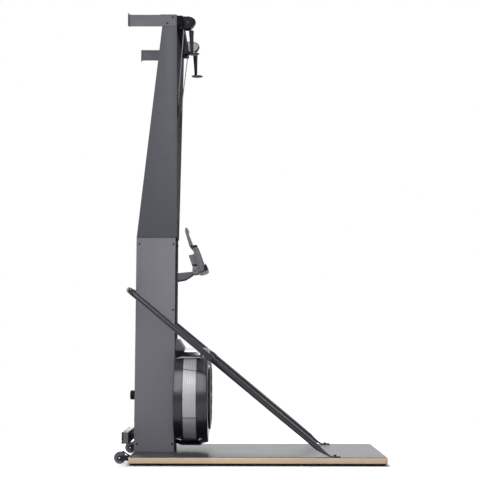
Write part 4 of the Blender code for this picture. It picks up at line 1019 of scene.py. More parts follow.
@dataclass
class FastenerKit:
    """Heads of the screws and bolts, each made about its own origin with +Z outwards."""

    steps: int = 24
    button_radius: float = 0.0048
    button_height: float = 0.0026
    dome: Outline = ((1.0, 0.0), (1.0, 0.3), (0.93, 0.6), (0.76, 0.86), (0.55, 1.0))
    socket_radius: float = 0.0018
    socket_depth: float = 0.0016
    socket_edge: float = 0.0002
    hex_radius: float = 0.0075
    hex_height: float = 0.0052
    washer_radius: float = 0.01
    washer_height: float = 0.0012

    def head(self, kind: Fastener) -> Mesh:
        """Make a head of one kind."""
        return {Fastener.BUTTON: self.button, Fastener.HEX: self.hexagon}[kind]()

    def ring(self, radius: float, height: float, section: Section = Section.ROUND) -> list[Point3]:
        """Give the points of one level, which for a hexagon lie on the same steps as for a circle.

        Args:
            radius: The radius, to the corners of a hexagon.
            height: The level.
            section: The level's shape.

        Returns:
            The points.
        """
        points = []
        for step in range(self.steps):
            angle = tau * step / self.steps
            reach = radius
            if section is Section.HEXAGON:
                local = (angle + pi / 6) % (pi / 3) - pi / 6
                reach = radius * cos(pi / 6) / cos(local)
            points.append((reach * cos(angle), reach * sin(angle), height))
        return points

    def button(self) -> Mesh:
        """Make a round head with a hexagonal socket.

        Returns:
            The head.
        """
        radius, top, socket = self.button_radius, self.button_height, self.socket_radius
        rings = [self.ring(radius * out, top * up) for out, up in self.dome]
        for reach, height in ((socket * 1.12, top), (socket, top - self.socket_edge),
                              (socket, top - self.socket_depth)):
            rings.append(self.ring(reach, height, Section.HEXAGON))
        return lofted("button_head", rings)

    def hexagon(self) -> Mesh:
        """Make a hexagonal head on a washer.

        Returns:
            The head.
        """
        w, t, r, h = self.washer_radius, self.washer_height, self.hex_radius, self.hex_height
        rings = [self.ring(w, 0.0), self.ring(w, t * 0.7), self.ring(w - t * 0.4, t),
                 self.ring(r, t, Section.HEXAGON), self.ring(r, h * 0.9, Section.HEXAGON),
                 self.ring(r * 0.93, h), self.ring(r * 0.5, h)]
        return lofted("hex_head", rings)


@dataclass
class Fasteners:
    """Collects the screws of the whole object and makes them one piece for each kind, finish and body."""

    shop: Workshop

    def __post_init__(self) -> None:
        """Start with no heads."""
        self.kit = FastenerKit()
        self.groups: dict[tuple[Fastener, Surface, str], list[Spot]] = {}

    def put(self, kind: Fastener, place: Point3, direction: Point3, surface: Surface = Surface.BLACK_BOLT,
            body: str = "frame", size: float = 1.0, spin: float = 0.0) -> None:
        """Add one head.

        Args:
            kind: The kind of head.
            place: Where it sits, in the frame's metres.
            direction: The way it faces.
            surface: Its finish.
            body: The body it is on.
            size: Scale on the usual size.
            spin: Turn about its axis in degrees.
        """
        spot = Spot(place, facing(direction, spin), (size, size, size))
        self.groups.setdefault((kind, surface, body), []).append(spot)

    def make(self) -> None:
        """Make every group's piece."""
        for (kind, surface, body), spots in self.groups.items():
            name = f"{kind.value}_heads_{surface.name.lower()}_{body}"
            self.shop.copies(name, self.kit.head(kind), spots, surface, body)


# Sub-assemblies

# Where the fan's axis and the pulleys are
FAN_Z = 0.3045
PULLEY_Y = 0.2
PULLEY_AXLE: Point2 = (0.258, 2.149)


@dataclass
class SubAssembly:
    """What every sub-assembly works with."""

    shop: Workshop
    fasteners: Fasteners


@dataclass
class Platform(SubAssembly):
    """The board with its covering and underlay."""

    board_rounding: float = 0.0018
    covering_rounding: float = 0.0006
    underlay_rounding: float = 0.001

    def build(self) -> None:
        """Round the three layers' edges."""
        shop = self.shop
        shop.rounded("platform_board", "plywood_board", Surface.PLYWOOD, self.board_rounding)
        shop.rounded("platform_mat", "deck_sheet", Surface.DECK, self.covering_rounding, 2)
        shop.rounded("platform_underlay", "underlay_sheet", Surface.UNDERLAY, self.underlay_rounding, 2)


@dataclass
class TransportWheels(SubAssembly):
    """The two wheels behind the platform, with their brackets and axles."""

    x: float = -0.048
    y: float = 0.215
    z: float = 0.0235
    radius: float = 0.0285
    width: float = 0.024
    tread_depth: float = 0.0008
    bore: float = 0.0043
    hub_radius: float = 0.0125
    dish: float = 0.004
    axle_reach: float = 0.0183
    hood_wall: float = 0.0022
    hood_clearance: float = 0.0032
    hood_line: Outline = ((-0.0006, 0.0325), (-0.01, 0.035), (-0.0305, 0.05), (-0.037, 0.0535))

    def wheel_profile(self) -> list[Point2]:
        """Give the wheel's section, with two tread grooves and a dished hub.

        Returns:
            Points of (radius, height).
        """
        r, half, hub = self.radius, self.width / 2, self.hub_radius
        inner, floor = half - self.dish, self.radius - self.tread_depth
        face = [(self.bore, half), (hub, half), (hub + 0.0015, half - 0.0012), (hub + 0.0025, inner - 0.0008),
                (r - 0.007, inner - 0.0008), (r - 0.0057, inner), (r - 0.0022, inner),
                (r - 0.0004, inner - 0.0022)]
        groove = [(r, inner - 0.004), (r, 0.0032), (floor, 0.0026), (floor, 0.0014), (r, 0.0008)]
        upper = face + groove
        return upper + [(radius, -height) for radius, height in reversed(upper)]

    def hood(self, name: str, sign: int) -> Mesh:
        """Fold the plate that runs from the board up over a wheel.

        Args:
            name: The mesh's name.
            sign: The wheel's side.

        Returns:
            The plate.
        """
        outer = [self.shop.flat(x, z + self.hood_wall) for x, z in self.hood_line]
        inner = [self.shop.flat(x, z) for x, z in reversed(self.hood_line)]
        half = self.width / 2 + self.hood_clearance
        mesh = slab(name, outer + inner, sign * self.y - half, sign * self.y + half, "Y")
        return self.shop.eased(name, mesh, 0.0006, 2)

    def build(self) -> None:
        """Make both wheels."""
        for side, sign in SIDES:
            centre = self.shop.at(self.x, sign * self.y, self.z)
            wheel = turned(f"wheel_{side}_rim", self.wheel_profile(), centre, "Y")
            self.shop.piece(f"wheel_{side}_moulding", wheel, Surface.WHEEL_PLASTIC, f"wheel_{side}",
                            (f"transport_wheel_{side}",))
            self.shop.rounded(f"wheel_bracket_{side}", f"wheel_{side}_fork", Surface.DARK_PAINT, 0.0007, 2)
            self.shop.piece(f"wheel_{side}_hood", self.hood(f"wheel_{side}_hood", sign), Surface.DARK_PAINT)
            self.shop.rounded(f"wheel_axle_{side}", f"wheel_{side}_axle", Surface.BLACK_BOLT, 0.0006, 2)
            for end in (-1, 1):
                place = self.shop.at(self.x, sign * self.y + end * self.axle_reach, self.z)
                self.fasteners.put(Fastener.BUTTON, place, (0, end, 0), Surface.ZINC, size=0.75)


@dataclass
class Column(SubAssembly):
    """The lower post and its front cover, with the screws in them."""

    half_width: float = 0.079
    rear: float = 0.002
    front: float = 0.2011
    post_rounding: float = 0.0014
    cover_rounding: float = 0.0011
    side_screws: Outline = ((0.0167, 1.055), (0.188, 1.055), (0.1876, 0.727), (0.0173, 0.072),
                            (0.1885, 0.072))
    rear_screws: Outline = ((0.06, 1.055), (0.06, 0.727), (0.06, 0.19))
    front_screws: Outline = ((0.062, 1.06), (0.062, 0.64))

    def build(self) -> None:
        """Round the folds and put the screws in, each stopped at an angle of its own."""
        shop, put = self.shop, self.fasteners.put
        shop.rounded("column_post", "column_shell", Surface.GREY_PAINT, self.post_rounding)
        shop.rounded("column_front_cover", "column_front_strip", Surface.FRONT_PAINT, self.cover_rounding)
        for _, sign in SIDES:
            for number, (x, z) in enumerate(self.side_screws):
                place = shop.at(x, sign * self.half_width, z)
                put(Fastener.BUTTON, place, (0, sign, 0), spin=17.0 * number)
            for y, z in self.rear_screws:
                put(Fastener.BUTTON, shop.at(self.rear, sign * y, z), (-1, 0, 0), spin=y * 900)
            for y, z in self.front_screws:
                place = shop.at(self.front - FIT_GAP, sign * y, z)
                put(Fastener.BUTTON, place, (1, 0, 0), spin=z * 90)


@dataclass
class Bumper(SubAssembly):
    """The ribbed bar across the column's rear, with end caps and a pale strip on its top that paints a
    highlight.
    """

    half_length: float = 0.15
    rear: float = -0.05
    front: float = -0.017
    low: float = 0.08
    high: float = 0.134
    cap_thickness: float = 0.003
    cap_inset: float = 0.009
    cap_margin: float = 0.0012
    cap_corner: float = 0.003
    rib_pitch: float = 0.0054
    rib_height: float = 0.0016
    rib_share: float = 0.3
    end_gap: float = 0.001
    strip_inset: float = 0.006
    strip_sink: float = 0.0004
    strip_rise: float = 0.0012

    def end_cap(self, name: str, sign: int) -> Mesh:
        """Make a cap with round corners over one end of the bar.

        Args:
            name: The mesh's name.
            sign: The end's side.

        Returns:
            The cap.
        """
        low = self.shop.flat(self.rear + self.cap_inset, self.low + self.cap_margin)
        high = self.shop.flat(self.front - self.cap_margin, self.high - self.cap_margin)
        outline = rounded_rectangle(low, high, self.cap_corner)
        span = sorted((sign * self.half_length, sign * (self.half_length + self.cap_thickness)))
        return self.shop.eased(name, slab(name, outline, *span, "Y"), 0.0009, 2)

    def rib(self) -> Mesh:
        """Make one rib of the bar's rear face, along Y and facing -X.

        Returns:
            The rib.
        """
        half, deep, reach = self.rib_pitch * self.rib_share, self.rib_height, self.half_length - self.end_gap
        outline = [(0.0, -half), (0.0, half), (-deep * 0.7, half * 0.8), (-deep, half * 0.35),
                   (-deep, -half * 0.35), (-deep * 0.7, -half * 0.8)]
        return slab("bumper_rib", outline, -reach, reach, "Y")

    def build(self) -> None:
        """Make the bar, its ribs, its caps and the pale strip that paints a highlight on its top."""
        shop = self.shop
        shop.rounded("rear_bumper_bar", "bumper_bar", Surface.RUBBER, 0.0012, 2)
        rows = int((self.high - self.low) / self.rib_pitch)
        start = (self.low + self.high) / 2 - (rows - 1) / 2 * self.rib_pitch
        spots = [Spot(shop.at(self.rear + 0.0001, 0, start + row * self.rib_pitch), Euler((0, 0, 0)))
                 for row in range(rows)]
        shop.copies("bumper_ribs", self.rib(), spots, Surface.RUBBER)
        for side, sign in SIDES:
            shop.piece(f"bumper_cap_{side}", self.end_cap(f"bumper_cap_{side}", sign), Surface.GREY_PLASTIC)
        # Painted highlight: a pale strip on the bar's top stands in for the light that the top catches
        reach = self.half_length - self.end_gap
        low = shop.at(self.rear + self.strip_inset, -reach, self.high - self.strip_sink)
        high = shop.at(self.front - self.end_gap, reach, self.high + self.strip_rise)
        strip = shop.eased("bumper_top_strip", block("bumper_top_strip", low, high), 0.0005, 2)
        shop.piece("bumper_top_strip", strip, Surface.PALE_PLASTIC)


@dataclass
class Shroud(SubAssembly):
    """The flared upper casing: its panels, its cap and the rims of its cord slots."""

    knee: float = 2.107
    foot: float = 1.0893
    face: float = 0.202
    face_lean: float = 0.0055
    rounding: float = 0.0011
    slot_y: float = 0.107
    slot_z: float = 1.751
    slot_width: float = 0.034
    slot_height: float = 0.124
    slot_corner: float = 0.012
    grommet_radius: float = 0.0026
    grommet_lift: float = 0.0005

    def face_x(self, z: float) -> float:
        """Give the front panel's face at a height."""
        share = (z - self.foot) / (self.knee - self.foot)
        return self.face + self.face_lean * min(1.0, share)

    def grommet(self, name: str, sign: int) -> Mesh:
        """Make the moulded rim round one cord slot.

        Args:
            name: The mesh's name.
            sign: The slot's side.

        Returns:
            The rim.
        """
        middle, across, up = sign * self.slot_y, self.slot_width / 2, self.slot_height / 2
        outline = rounded_rectangle((middle - across, self.slot_z - up), (middle + across, self.slot_z + up),
                                    self.slot_corner, 8)
        points = [self.shop.at(self.face_x(z) + self.grommet_lift, y, z) for y, z in outline]
        return pipe(name, points, self.grommet_radius, 10, closed=True)

    def build(self) -> None:
        """Make the casing."""
        shop = self.shop
        for side, sign in SIDES:
            shop.rounded(f"shroud_side_{side}", f"flare_side_{side}", Surface.SHROUD_PAINT, self.rounding)
            rim = self.grommet(f"cord_grommet_{side}", sign)
            shop.piece(f"cord_grommet_{side}", rim, Surface.BLACK_PLASTIC)
        shop.rounded("shroud_rear_panel", "flare_rear", Surface.SHROUD_PAINT, self.rounding)
        shop.rounded("shroud_front_panel", "flare_front", Surface.FRONT_PAINT, self.rounding)
        shop.rounded("shroud_top_cap", "flare_cap", Surface.BLACK_PLASTIC, 0.0012, 2)


@dataclass
class WallArms(SubAssembly):
    """The two bracket arms, with the screws that hold them."""

    outer: float = 0.2833
    screws: Outline = ((0.1892, 2.153), (0.163, 2.1227))

    def build(self) -> None:
        """Make both arms."""
        shop = self.shop
        for side, sign in SIDES:
            shop.rounded(f"wall_bracket_{side}", f"wall_arm_{side}", Surface.ARM_PAINT, 0.001)
            for number, (x, z) in enumerate(self.screws):
                self.fasteners.put(Fastener.BUTTON, shop.at(x, sign * self.outer, z), (0, sign, 0),
                                   spin=31.0 * number, size=1.15)


@dataclass
class PulleyHeads(SubAssembly):
    """The beam, the two heads, their pulleys and axles."""

    y: float = PULLEY_Y
    width: float = 0.034
    axle: Point2 = PULLEY_AXLE
    nut_reach: float = 0.0028
    bore: float = 0.0043
    rim: float = 0.0205
    rim_edge: float = 0.001
    groove: float = 0.0155
    groove_lift: float = 0.0004
    half_width: float = 0.011
    inlay_outline: Outline = ((0.226, 2.177), (0.262, 2.177), (0.2775, 2.1725), (0.2885, 2.165),
                              (0.2935, 2.155), (0.287, 2.1415), (0.277, 2.13), (0.266, 2.123), (0.254, 2.121),
                              (0.242, 2.1255), (0.229, 2.15))
    inlay_thickness: float = 0.0012

    def pulley_profile(self) -> list[Point2]:
        """Give a pulley's section with a round groove.

        Returns:
            Points of (radius, height).
        """
        bore, rim, edge, half = self.bore, self.rim, self.rim_edge, self.half_width
        middle = rim + self.groove_lift
        throat = [(up, -across) for across, up in arc((0.0, middle), middle - self.groove, 180, 360, 10)]
        return [(bore, half), (rim - edge, half), (rim, half - edge), *throat, (rim, -half + edge),
                (rim - edge, -half), (bore, -half)]

    def inlay(self, name: str, sign: int) -> Mesh:
        """Make the pale plate on a head's inner face.

        Args:
            name: The mesh's name.
            sign: The head's side.

        Returns:
            The plate.
        """
        outline = [self.shop.flat(x, z) for x, z in self.inlay_outline]
        face = sign * (self.y - self.width / 2)
        low, high = sorted((face, face - sign * self.inlay_thickness))
        return self.shop.eased(name, slab(name, outline, low, high, "Y"), 0.0004, 2)

    def build(self) -> None:
        """Make the beam and both heads."""
        shop, (x, z) = self.shop, self.axle
        shop.rounded("pulley_beam", "head_beam", Surface.DARK_PAINT, 0.0008, 2)
        for side, sign in SIDES:
            shop.rounded(f"pulley_head_{side}", f"head_shell_{side}", Surface.BLACK_PLASTIC, 0.0018, 4)
            shop.piece(f"head_inlay_{side}", self.inlay(f"head_inlay_{side}", sign), Surface.PALE_PLASTIC)
            wheel = turned(f"head_{side}_sheave", self.pulley_profile(), shop.at(x, sign * self.y, z), "Y")
            shop.piece(f"head_{side}_sheave", wheel, Surface.BLACK_PLASTIC, f"pulley_{side}",
                       (f"cord_pulley_{side}",))
            shop.rounded(f"pulley_axle_{side}", f"head_{side}_axle", Surface.BLACK_BOLT, 0.0007, 2)
            place = shop.at(x, sign * (self.y + self.width / 2 + self.nut_reach), z)
            self.fasteners.put(Fastener.HEX, place, (0, sign, 0), size=0.55)


@dataclass
class Cords(SubAssembly):
    """The drive cords over the pulleys and the short cords to the handles."""

    radius: float = 0.0022
    axle: Point2 = PULLEY_AXLE
    reach: float = 0.018
    y: float = PULLEY_Y
    bend: Point3 = (0.2046, 0.1, 1.75)
    bend_reach: float = 0.012
    drum_x: tuple[float, float] = (0.058, 0.09)
    drum_offset: float = 0.03
    fan_z: float = FAN_Z
    handle_top: float = 2.1123
    sides: int = 10

    def route(self, sign: int, drum_x: float) -> list[Point3]:
        """Give a drive cord's middle line, over the pulley, into the slot and down to the drum.

        Args:
            sign: The cord's side.
            drum_x: Where its drum is.

        Returns:
            Points along the line.
        """
        over = [self.shop.at(x, sign * self.y, z) for x, z in arc(self.axle, self.reach, 0, 180, 20)]
        bend = Vector(self.shop.at(self.bend[0], sign * self.bend[1], self.bend[2]))
        end = Vector(self.shop.at(drum_x, self.drum_offset, self.fan_z))
        start = Vector(over[-1])
        corner = [bend + (start - bend).normalized() * self.bend_reach, bend,
                  bend + (end - bend).normalized() * self.bend_reach]
        first = [start.lerp(corner[0], share / 6) for share in range(1, 6)]
        last = [corner[2].lerp(end, share / 8) for share in range(1, 9)]
        return [tuple(point) for point in (*map(Vector, over), *first, *corner, *last)]

    def build(self) -> None:
        """Make both sides' cords."""
        shop = self.shop
        for (side, sign), drum_x in zip(SIDES, self.drum_x):
            cord = pipe(f"drive_line_{side}", self.route(sign, drum_x), self.radius, self.sides)
            shop.piece(f"drive_line_{side}", cord, Surface.CORD, "frame", (f"drive_cord_{side}",))
            x = self.axle[0] + self.reach
            high = shop.at(x, sign * self.y, self.axle[1] - FIT_GAP)
            low = shop.at(x, sign * self.y, self.handle_top)
            points = [Vector(high).lerp(Vector(low), share / 6) for share in range(7)]
            drop = pipe(f"handle_line_{side}", points, self.radius, self.sides)
            made = placed(f"handle_line_{side}", drop)
            drop.materials.append(shop.material(Surface.CORD))
            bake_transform(made)
            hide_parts(f"handle_cord_{side}")


@dataclass
class Handles(SubAssembly):
    """The two pull handles: a tapered rubber grip with fine ribs and a guard plate."""

    x: float = 0.276
    y: float = PULLEY_Y
    top: float = 2.112
    length: float = 0.115
    top_radius: float = 0.0122
    neck_radius: float = 0.0074
    head_length: float = 0.009
    edge: float = 0.0025
    cord_hole: Outline = ((0.0, 0.0), (0.0035, 0.0), (0.0042, -0.0012), (0.0052, -0.0012), (0.006, 0.0))
    lean: float = radians(2.0)
    steps: int = 110
    ribs: int = 9
    rib_start: float = 0.022
    rib_end: float = 0.1
    rib_depth: float = 0.0005
    guard_x: float = 0.285
    guard_length: float = 0.059
    guard_width: float = 0.05
    guard_thickness: float = 0.006
    guard_nose: float = 0.003
    guard_angle: float = radians(50)
    guard_section: Outline = ((0.05, 1.0), (0.35, 1.0), (0.6, 0.97), (0.8, 0.85), (0.92, 0.62), (0.985, 0.32),
                              (1.0, 0.0), (0.985, -0.32), (0.92, -0.62), (0.8, -0.85), (0.6, -0.97),
                              (0.05, -1.0))

    def radius_at(self, drop: float) -> float:
        """Give the grip's radius.

        Args:
            drop: The distance below the grip's top.

        Returns:
            The radius there, without the ribs.
        """
        if drop <= self.head_length:
            return self.top_radius
        share = (drop - self.head_length) / (self.length - self.head_length)
        return self.top_radius + (self.neck_radius - self.top_radius) * share ** 0.8

    def grip(self, name: str, sign: int) -> Mesh:
        """Turn a ribbed grip and lean it back.

        Args:
            name: The mesh's name.
            sign: The handle's side.

        Returns:
            The grip, in place.
        """
        edge = self.edge
        profile = [*self.cord_hole, *arc((self.top_radius - edge, -edge), edge, 90, 0, 9)]
        for step in range(1, self.steps + 1):
            drop = edge + (self.length - edge) * step / self.steps
            radius = self.radius_at(drop)
            if self.rib_start < drop < self.rib_end:
                share = (drop - self.rib_start) / (self.rib_end - self.rib_start) * self.ribs
                radius -= self.rib_depth * (0.5 + 0.5 * cos(tau * share)) ** 4
            profile.append((radius, -drop))
        profile.append((0.0, -self.length))
        mesh = turned(name, profile, (0, 0, 0), "Z", 48)
        centre = Vector(self.shop.at(self.x, sign * self.y, self.top))
        mesh.transform(Matrix.Translation(centre) @ Matrix.Rotation(-self.lean, 4, "Y"))
        return mesh

    def guard(self, name: str, sign: int) -> Mesh:
        """Make a guard plate, thick in the middle and thin at its rim, with a slight nose in front.

        Args:
            name: The mesh's name.
            sign: The handle's side.

        Returns:
            The plate, in place.
        """
        half = self.guard_thickness / 2
        turns = [tau * step / TURNED_STEPS for step in range(TURNED_STEPS)]
        drop = self.length * cos(self.lean) + self.neck_radius * sin(self.lean)
        middle = self.top - drop - FIT_GAP - half
        rings = []
        for share, lift in self.guard_section:
            ring = []
            for turn in turns:
                nose = self.guard_nose * max(0.0, cos(turn)) ** 3 * share
                x = self.guard_x + self.guard_length / 2 * cos(turn) * share + nose
                y = sign * self.y + self.guard_width / 2 * sin(turn) * share
                ring.append(self.shop.at(x, y, middle + half * lift))
            rings.append(ring)
        return smoothed(lofted(name, rings), self.guard_angle)

    def build(self) -> None:
        """Make both handles."""
        for side, sign in SIDES:
            for name, mesh, surface, node in (
                (f"grip_{side}_rubber", self.grip(f"grip_{side}", sign), Surface.GRIP, "grip"),
                (f"guard_{side}_plate", self.guard(f"guard_{side}", sign), Surface.BLACK_PLASTIC, "guard"),
            ):
                self.shop.piece(name, mesh, surface, f"handle_{side}", (f"handle_{node}_{side}",))


@dataclass
class Fan(SubAssembly):
    """The fan's rings, perforated band, clips, front cover, dial, rotor and gusset."""

    z: float = FAN_Z
    radius: float = 0.2345
    wall: float = 0.003
    rear: float = 0.2011
    rear_end: float = 0.2455
    rear_edge: float = 0.004
    rear_bead: Span = (0.0044, 0.0094)
    bead_height: float = 0.0006
    intake: float = 0.06
    front_start: float = 0.3105
    front_end: float = 0.349
    flange_radius: float = 0.232
    flange_end: float = 0.366
    flange_corner: float = 0.008
    flange_groove: tuple[float, ...] = (0.004, 0.006, 0.012, 0.014)
    groove_depth: float = 0.0012
    step_height: float = 0.0008
    opening: float = 0.12
    cover_radius: float = 0.168
    cover_depth: float = 0.011
    cover_wall: float = 0.003
    cover_corner: float = 0.008
    cover_rim: float = 0.024
    well_rim: float = 0.01
    dial_bore: float = 0.0063
    dial_radius: float = 0.06
    dial_thickness: float = 0.0045
    lever: Point2 = (0.048, 0.007)
    pointer: Span = (0.036, 0.045)
    pointer_half: float = 0.0008
    settings: int = 10
    scale_start: float = -2.0
    scale_span: float = 100.0
    scale_gap: float = 0.0062
    scale_size: float = 0.0095
    scale_depth: float = 0.00015
    screen_radius: float = 0.2312
    screen_start: float = 0.239
    screen_end: float = 0.317
    screen_lap: float = 0.002
    screen_margin: float = 0.0055
    cell: float = 0.01
    cell_wall: float = 0.0009
    web: float = 0.42
    lap_start: float = 204.6
    slanted_seam: Point2 = (146.0, -10.0)
    seam_half: float = 0.0018
    seam_thickness: float = 0.0007
    clip_bolts: tuple[float, ...] = (124.0, 56.0, 251.25, 288.75)
    clip_middle: float = 0.278
    clip_top: float = 0.0107
    cradle_half: float = 31.0
    # Outlines of the pale plates that paint highlights on the clips' end faces
    cradle_lips: tuple[Outline, ...] = (
        ((0.2075, 0.0002), (0.2235, 0.0002), (0.2395, 0.0055), (0.234, 0.0102)),
        ((0.337, 0.0002), (0.324, 0.0102), (0.3185, 0.0055), (0.325, 0.0002)))
    clip_half_width: float = 0.02
    clip_lip: Outline = ((0.207, -0.0006), (0.2125, -0.0006), (0.235, 0.0034), (0.3225, 0.0034),
                         (0.3325, -0.0006), (0.3375, -0.0006), (0.3262, 0.0103), (0.2313, 0.0103))
    lip_sink: float = 0.001
    lip_height: float = 0.0006
    vents: int = 36
    louvre: Point3 = (0.06, 0.004, 0.0016)
    gusset_bolt: Point3 = (0.2212, 0.079, 0.5109)
    bearing_seat: Outline = ((0.0103, 0.018), (0.015, 0.018), (0.015, -0.006), (0.0218, -0.006),
                             (0.023, -0.0072), (0.023, -0.022))
    bearing_bend: Point2 = (0.019, -0.023)
    bearing_corner: float = 0.004
    bearing_back: Outline = ((0.012, -0.027), (0.011, -0.026), (0.0, -0.026), (0.0, -0.0203),
                             (0.0103, -0.0203))

    @property
    def centre(self) -> Point3:
        """Give a point on the axis at the platform's rear edge."""
        return self.shop.at(0, 0, self.z)

    @property
    def band(self) -> Span:
        """Give where the perforated band starts and ends along X."""
        return self.rear_end - self.screen_lap, self.front_start + self.screen_lap

    def outward(self, turn: float) -> Vector:
        """Give the way out from the axis at an angle in radians."""
        return Vector((0, cos(turn), sin(turn)))

    def shell(self, name: str, profile: Sequence[Point2], surface: Surface, node: str) -> None:
        """Turn a closed profile about the axis, as a piece in a CAD node's place.

        Args:
            name: The piece's name.
            profile: Points of (radius, x).
            surface: Its finish.
            node: The CAD node.
        """
        mesh = turned(name, profile, self.centre, "X", RING_STEPS)
        self.shop.piece(name, mesh, surface, "frame", (node,))

    def rear_ring(self) -> None:
        """Turn the rear ring with a rolled rim."""
        r, e, end, step = self.radius, self.rear_edge, self.rear_end, self.bead_height
        inner, (above, below) = r - self.wall, self.rear_bead
        profile = [(inner, end), (inner + 0.0012, end + step), (r - 0.0008, end + step), (r, end - 0.0002),
                   (r, end - 0.004), (r - step, end - above), (r - step, self.rear + below),
                   (r, self.rear + 0.009), (r, self.rear + e + 0.002)]
        profile += arc((r - e, self.rear + e), e, 0, -90, 6)
        profile += [(self.intake, self.rear), (self.intake, self.rear + self.wall),
                    (inner, self.rear + self.wall)]
        self.shell("fan_back_shell", profile, Surface.RING_PLASTIC, "fan_rear_ring")

    def front_ring(self) -> None:
        """Turn the front ring, its step and its rounded flange."""
        r, w, c, rim, step = self.radius, self.wall, self.flange_corner, self.flange_radius, self.step_height
        bend = (self.flange_end - c, rim - c)
        outer = [(radius, x) for x, radius in arc(bend, c, 0, 90, 8)]
        inner = [(radius, x) for x, radius in arc(bend, c - w, 90, 0, 4)]
        top, floor = self.flange_end, self.flange_end - self.groove_depth
        groove = zip(self.flange_groove, (top, floor, floor, top))
        profile = [(self.opening, top), *((self.cover_radius + out, x) for out, x in groove)]
        profile += outer
        profile += [(rim, self.front_end + step), (r - step, self.front_end), (r, self.front_end - 0.001),
                    (r, self.front_start + 0.004), (r - step, self.front_start + 0.003),
                    (r - step, self.front_start), (r - w, self.front_start), (r - w, self.front_end - w),
                    (rim - w, self.front_end - w / 2)]
        profile += inner + [(self.opening, top - w)]
        self.shell("fan_front_shell", profile, Surface.RING_PLASTIC, "fan_front_ring")

    def cover(self) -> None:
        """Turn the front cover, with a raised rim and a well for the dial, and set louvres in it."""
        seat = self.flange_end + FIT_GAP
        face, r, w, c = seat + self.cover_depth, self.cover_radius, self.cover_wall, self.cover_corner
        floor, well, bore = seat + w, self.dial_radius + 2 * FIT_GAP, self.dial_bore
        low, step, rim = face - self.groove_depth, self.step_height, self.cover_rim
        profile = [(bore, floor), (well, floor), (well, face - step), (well + step, face),
                   (well + self.well_rim, face), (well + self.well_rim + 0.001, low), (r - rim, low),
                   (r - rim + 0.001, face)]
        profile += arc((r - c, face - c), c, 90, 0, 6)
        profile += [(r, seat), (r - w, seat), (r - w, face - 0.007), (r - w - 0.004, face - w),
                    (well + w, face - w), (well + w, seat), (bore, seat)]
        self.shell("fan_cover_shell", profile, Surface.COVER_PLASTIC, "fan_front_cover")
        middle = (well + r - 0.012) / 2
        length, width, height = self.louvre
        vent = block("vent_louvre", (-length / 2, -width / 2, 0.0), (length / 2, width / 2, height))
        spots = []
        for number in range(self.vents):
            out = self.outward(tau * number / self.vents)
            frame = Matrix((out, Vector((1, 0, 0)).cross(out), Vector((1, 0, 0)))).transposed()
            place = Vector(self.shop.at(low, 0, self.z)) + out * middle
            spots.append(Spot(tuple(place), frame.to_euler()))
        self.shop.copies("fan_cover_louvres", self.shop.eased("vent_louvre", vent, 0.0007, 2), spots,
                         Surface.BLACK_PLASTIC)

    def dial(self) -> None:
        """Turn the damper dial, with its lever, and mark the numbers of its settings beside it."""
        seat = self.flange_end + FIT_GAP
        low, face, r = seat + self.cover_wall + FIT_GAP, seat + self.cover_depth, self.dial_radius
        high = low + self.dial_thickness
        profile = [(0.0, high + 0.0006), (0.02, high + 0.0006), (0.022, high), (r - 0.004, high),
                   (r - 0.003, high + 0.001), (r - 0.0012, high + 0.001), (r, high - 0.0002), (r, low),
                   (0.006, low), (0.006, low - 0.008), (0.0, low - 0.008)]
        mesh = turned("damper_disc", profile, self.centre, "X", 96)
        self.shop.piece("damper_disc", mesh, Surface.BLACK_PLASTIC, "damper", ("damper_dial",))
        half_length, half_width = self.lever
        lever = block("damper_bar", self.shop.at(high - 0.001, -half_length, self.z - half_width),
                      self.shop.at(face - FIT_GAP, half_length, self.z + half_width))
        lever = self.shop.eased("damper_bar", lever, 0.003, 4)
        self.shop.piece("damper_bar", lever, Surface.GREY_PLASTIC, "damper")
        (start, end), half, top = self.pointer, self.pointer_half, face - FIT_GAP
        pointer = block("damper_pointer", self.shop.at(top - 0.0002, start, self.z - half),
                        self.shop.at(top + 0.0002, end, self.z + half))
        self.shop.piece("damper_pointer", pointer, Surface.MARKS, "damper")
        for number in range(self.settings):
            angle = self.scale_start + number * self.scale_span / (self.settings - 1)
            self.number(number + 1, radians(angle), face)

    def number(self, value: int, angle: float, face: float) -> None:
        """Print one number of the damper's scale on the cover's rim.

        Args:
            value: The number.
            angle: Its place round the dial, in radians.
            face: The rim's place along X.
        """
        text = bpy.data.curves.new(f"scale_{value}", "FONT")
        text.body = str(value)
        text.size = self.scale_size
        text.extrude = self.scale_depth
        text.align_x, text.align_y = "CENTER", "CENTER"
        mesh = baked(placed(f"scale_{value}_holder", text), f"scale_{value}")
        radius = self.dial_radius + self.scale_gap
        place = self.shop.at(face + 0.0001, radius * cos(angle), self.z + radius * sin(angle))
        frame = Matrix((Vector((0, 1, 0)), Vector((0, 0, 1)), Vector((1, 0, 0)))).transposed().to_4x4()
        mesh.transform(Matrix.Translation(place) @ frame)
        self.shop.piece(f"damper_scale_{value}", mesh, Surface.MARKS)

    def cell_shape(self) -> Mesh:
        """Make one cell of the band: a flat hexagonal frame round a hole, with the hole's wall.

        Returns:
            The cell, about its own origin with +Z outwards.
        """
        outer = self.cell / sqrt(3)
        inner = outer * (1 - self.web)
        turns = [radians(60 * step) for step in range(6)]
        shape = bmesh.new()
        loops = [[shape.verts.new((radius * cos(turn), radius * sin(turn), depth)) for turn in turns]
                 for radius, depth in ((outer, 0.0), (inner, 0.0), (inner, -self.cell_wall))]
        bridged(shape, loops)
        mesh = bpy.data.meshes.new("screen_cell")
        shape.to_mesh(mesh)
        shape.free()
        return mesh

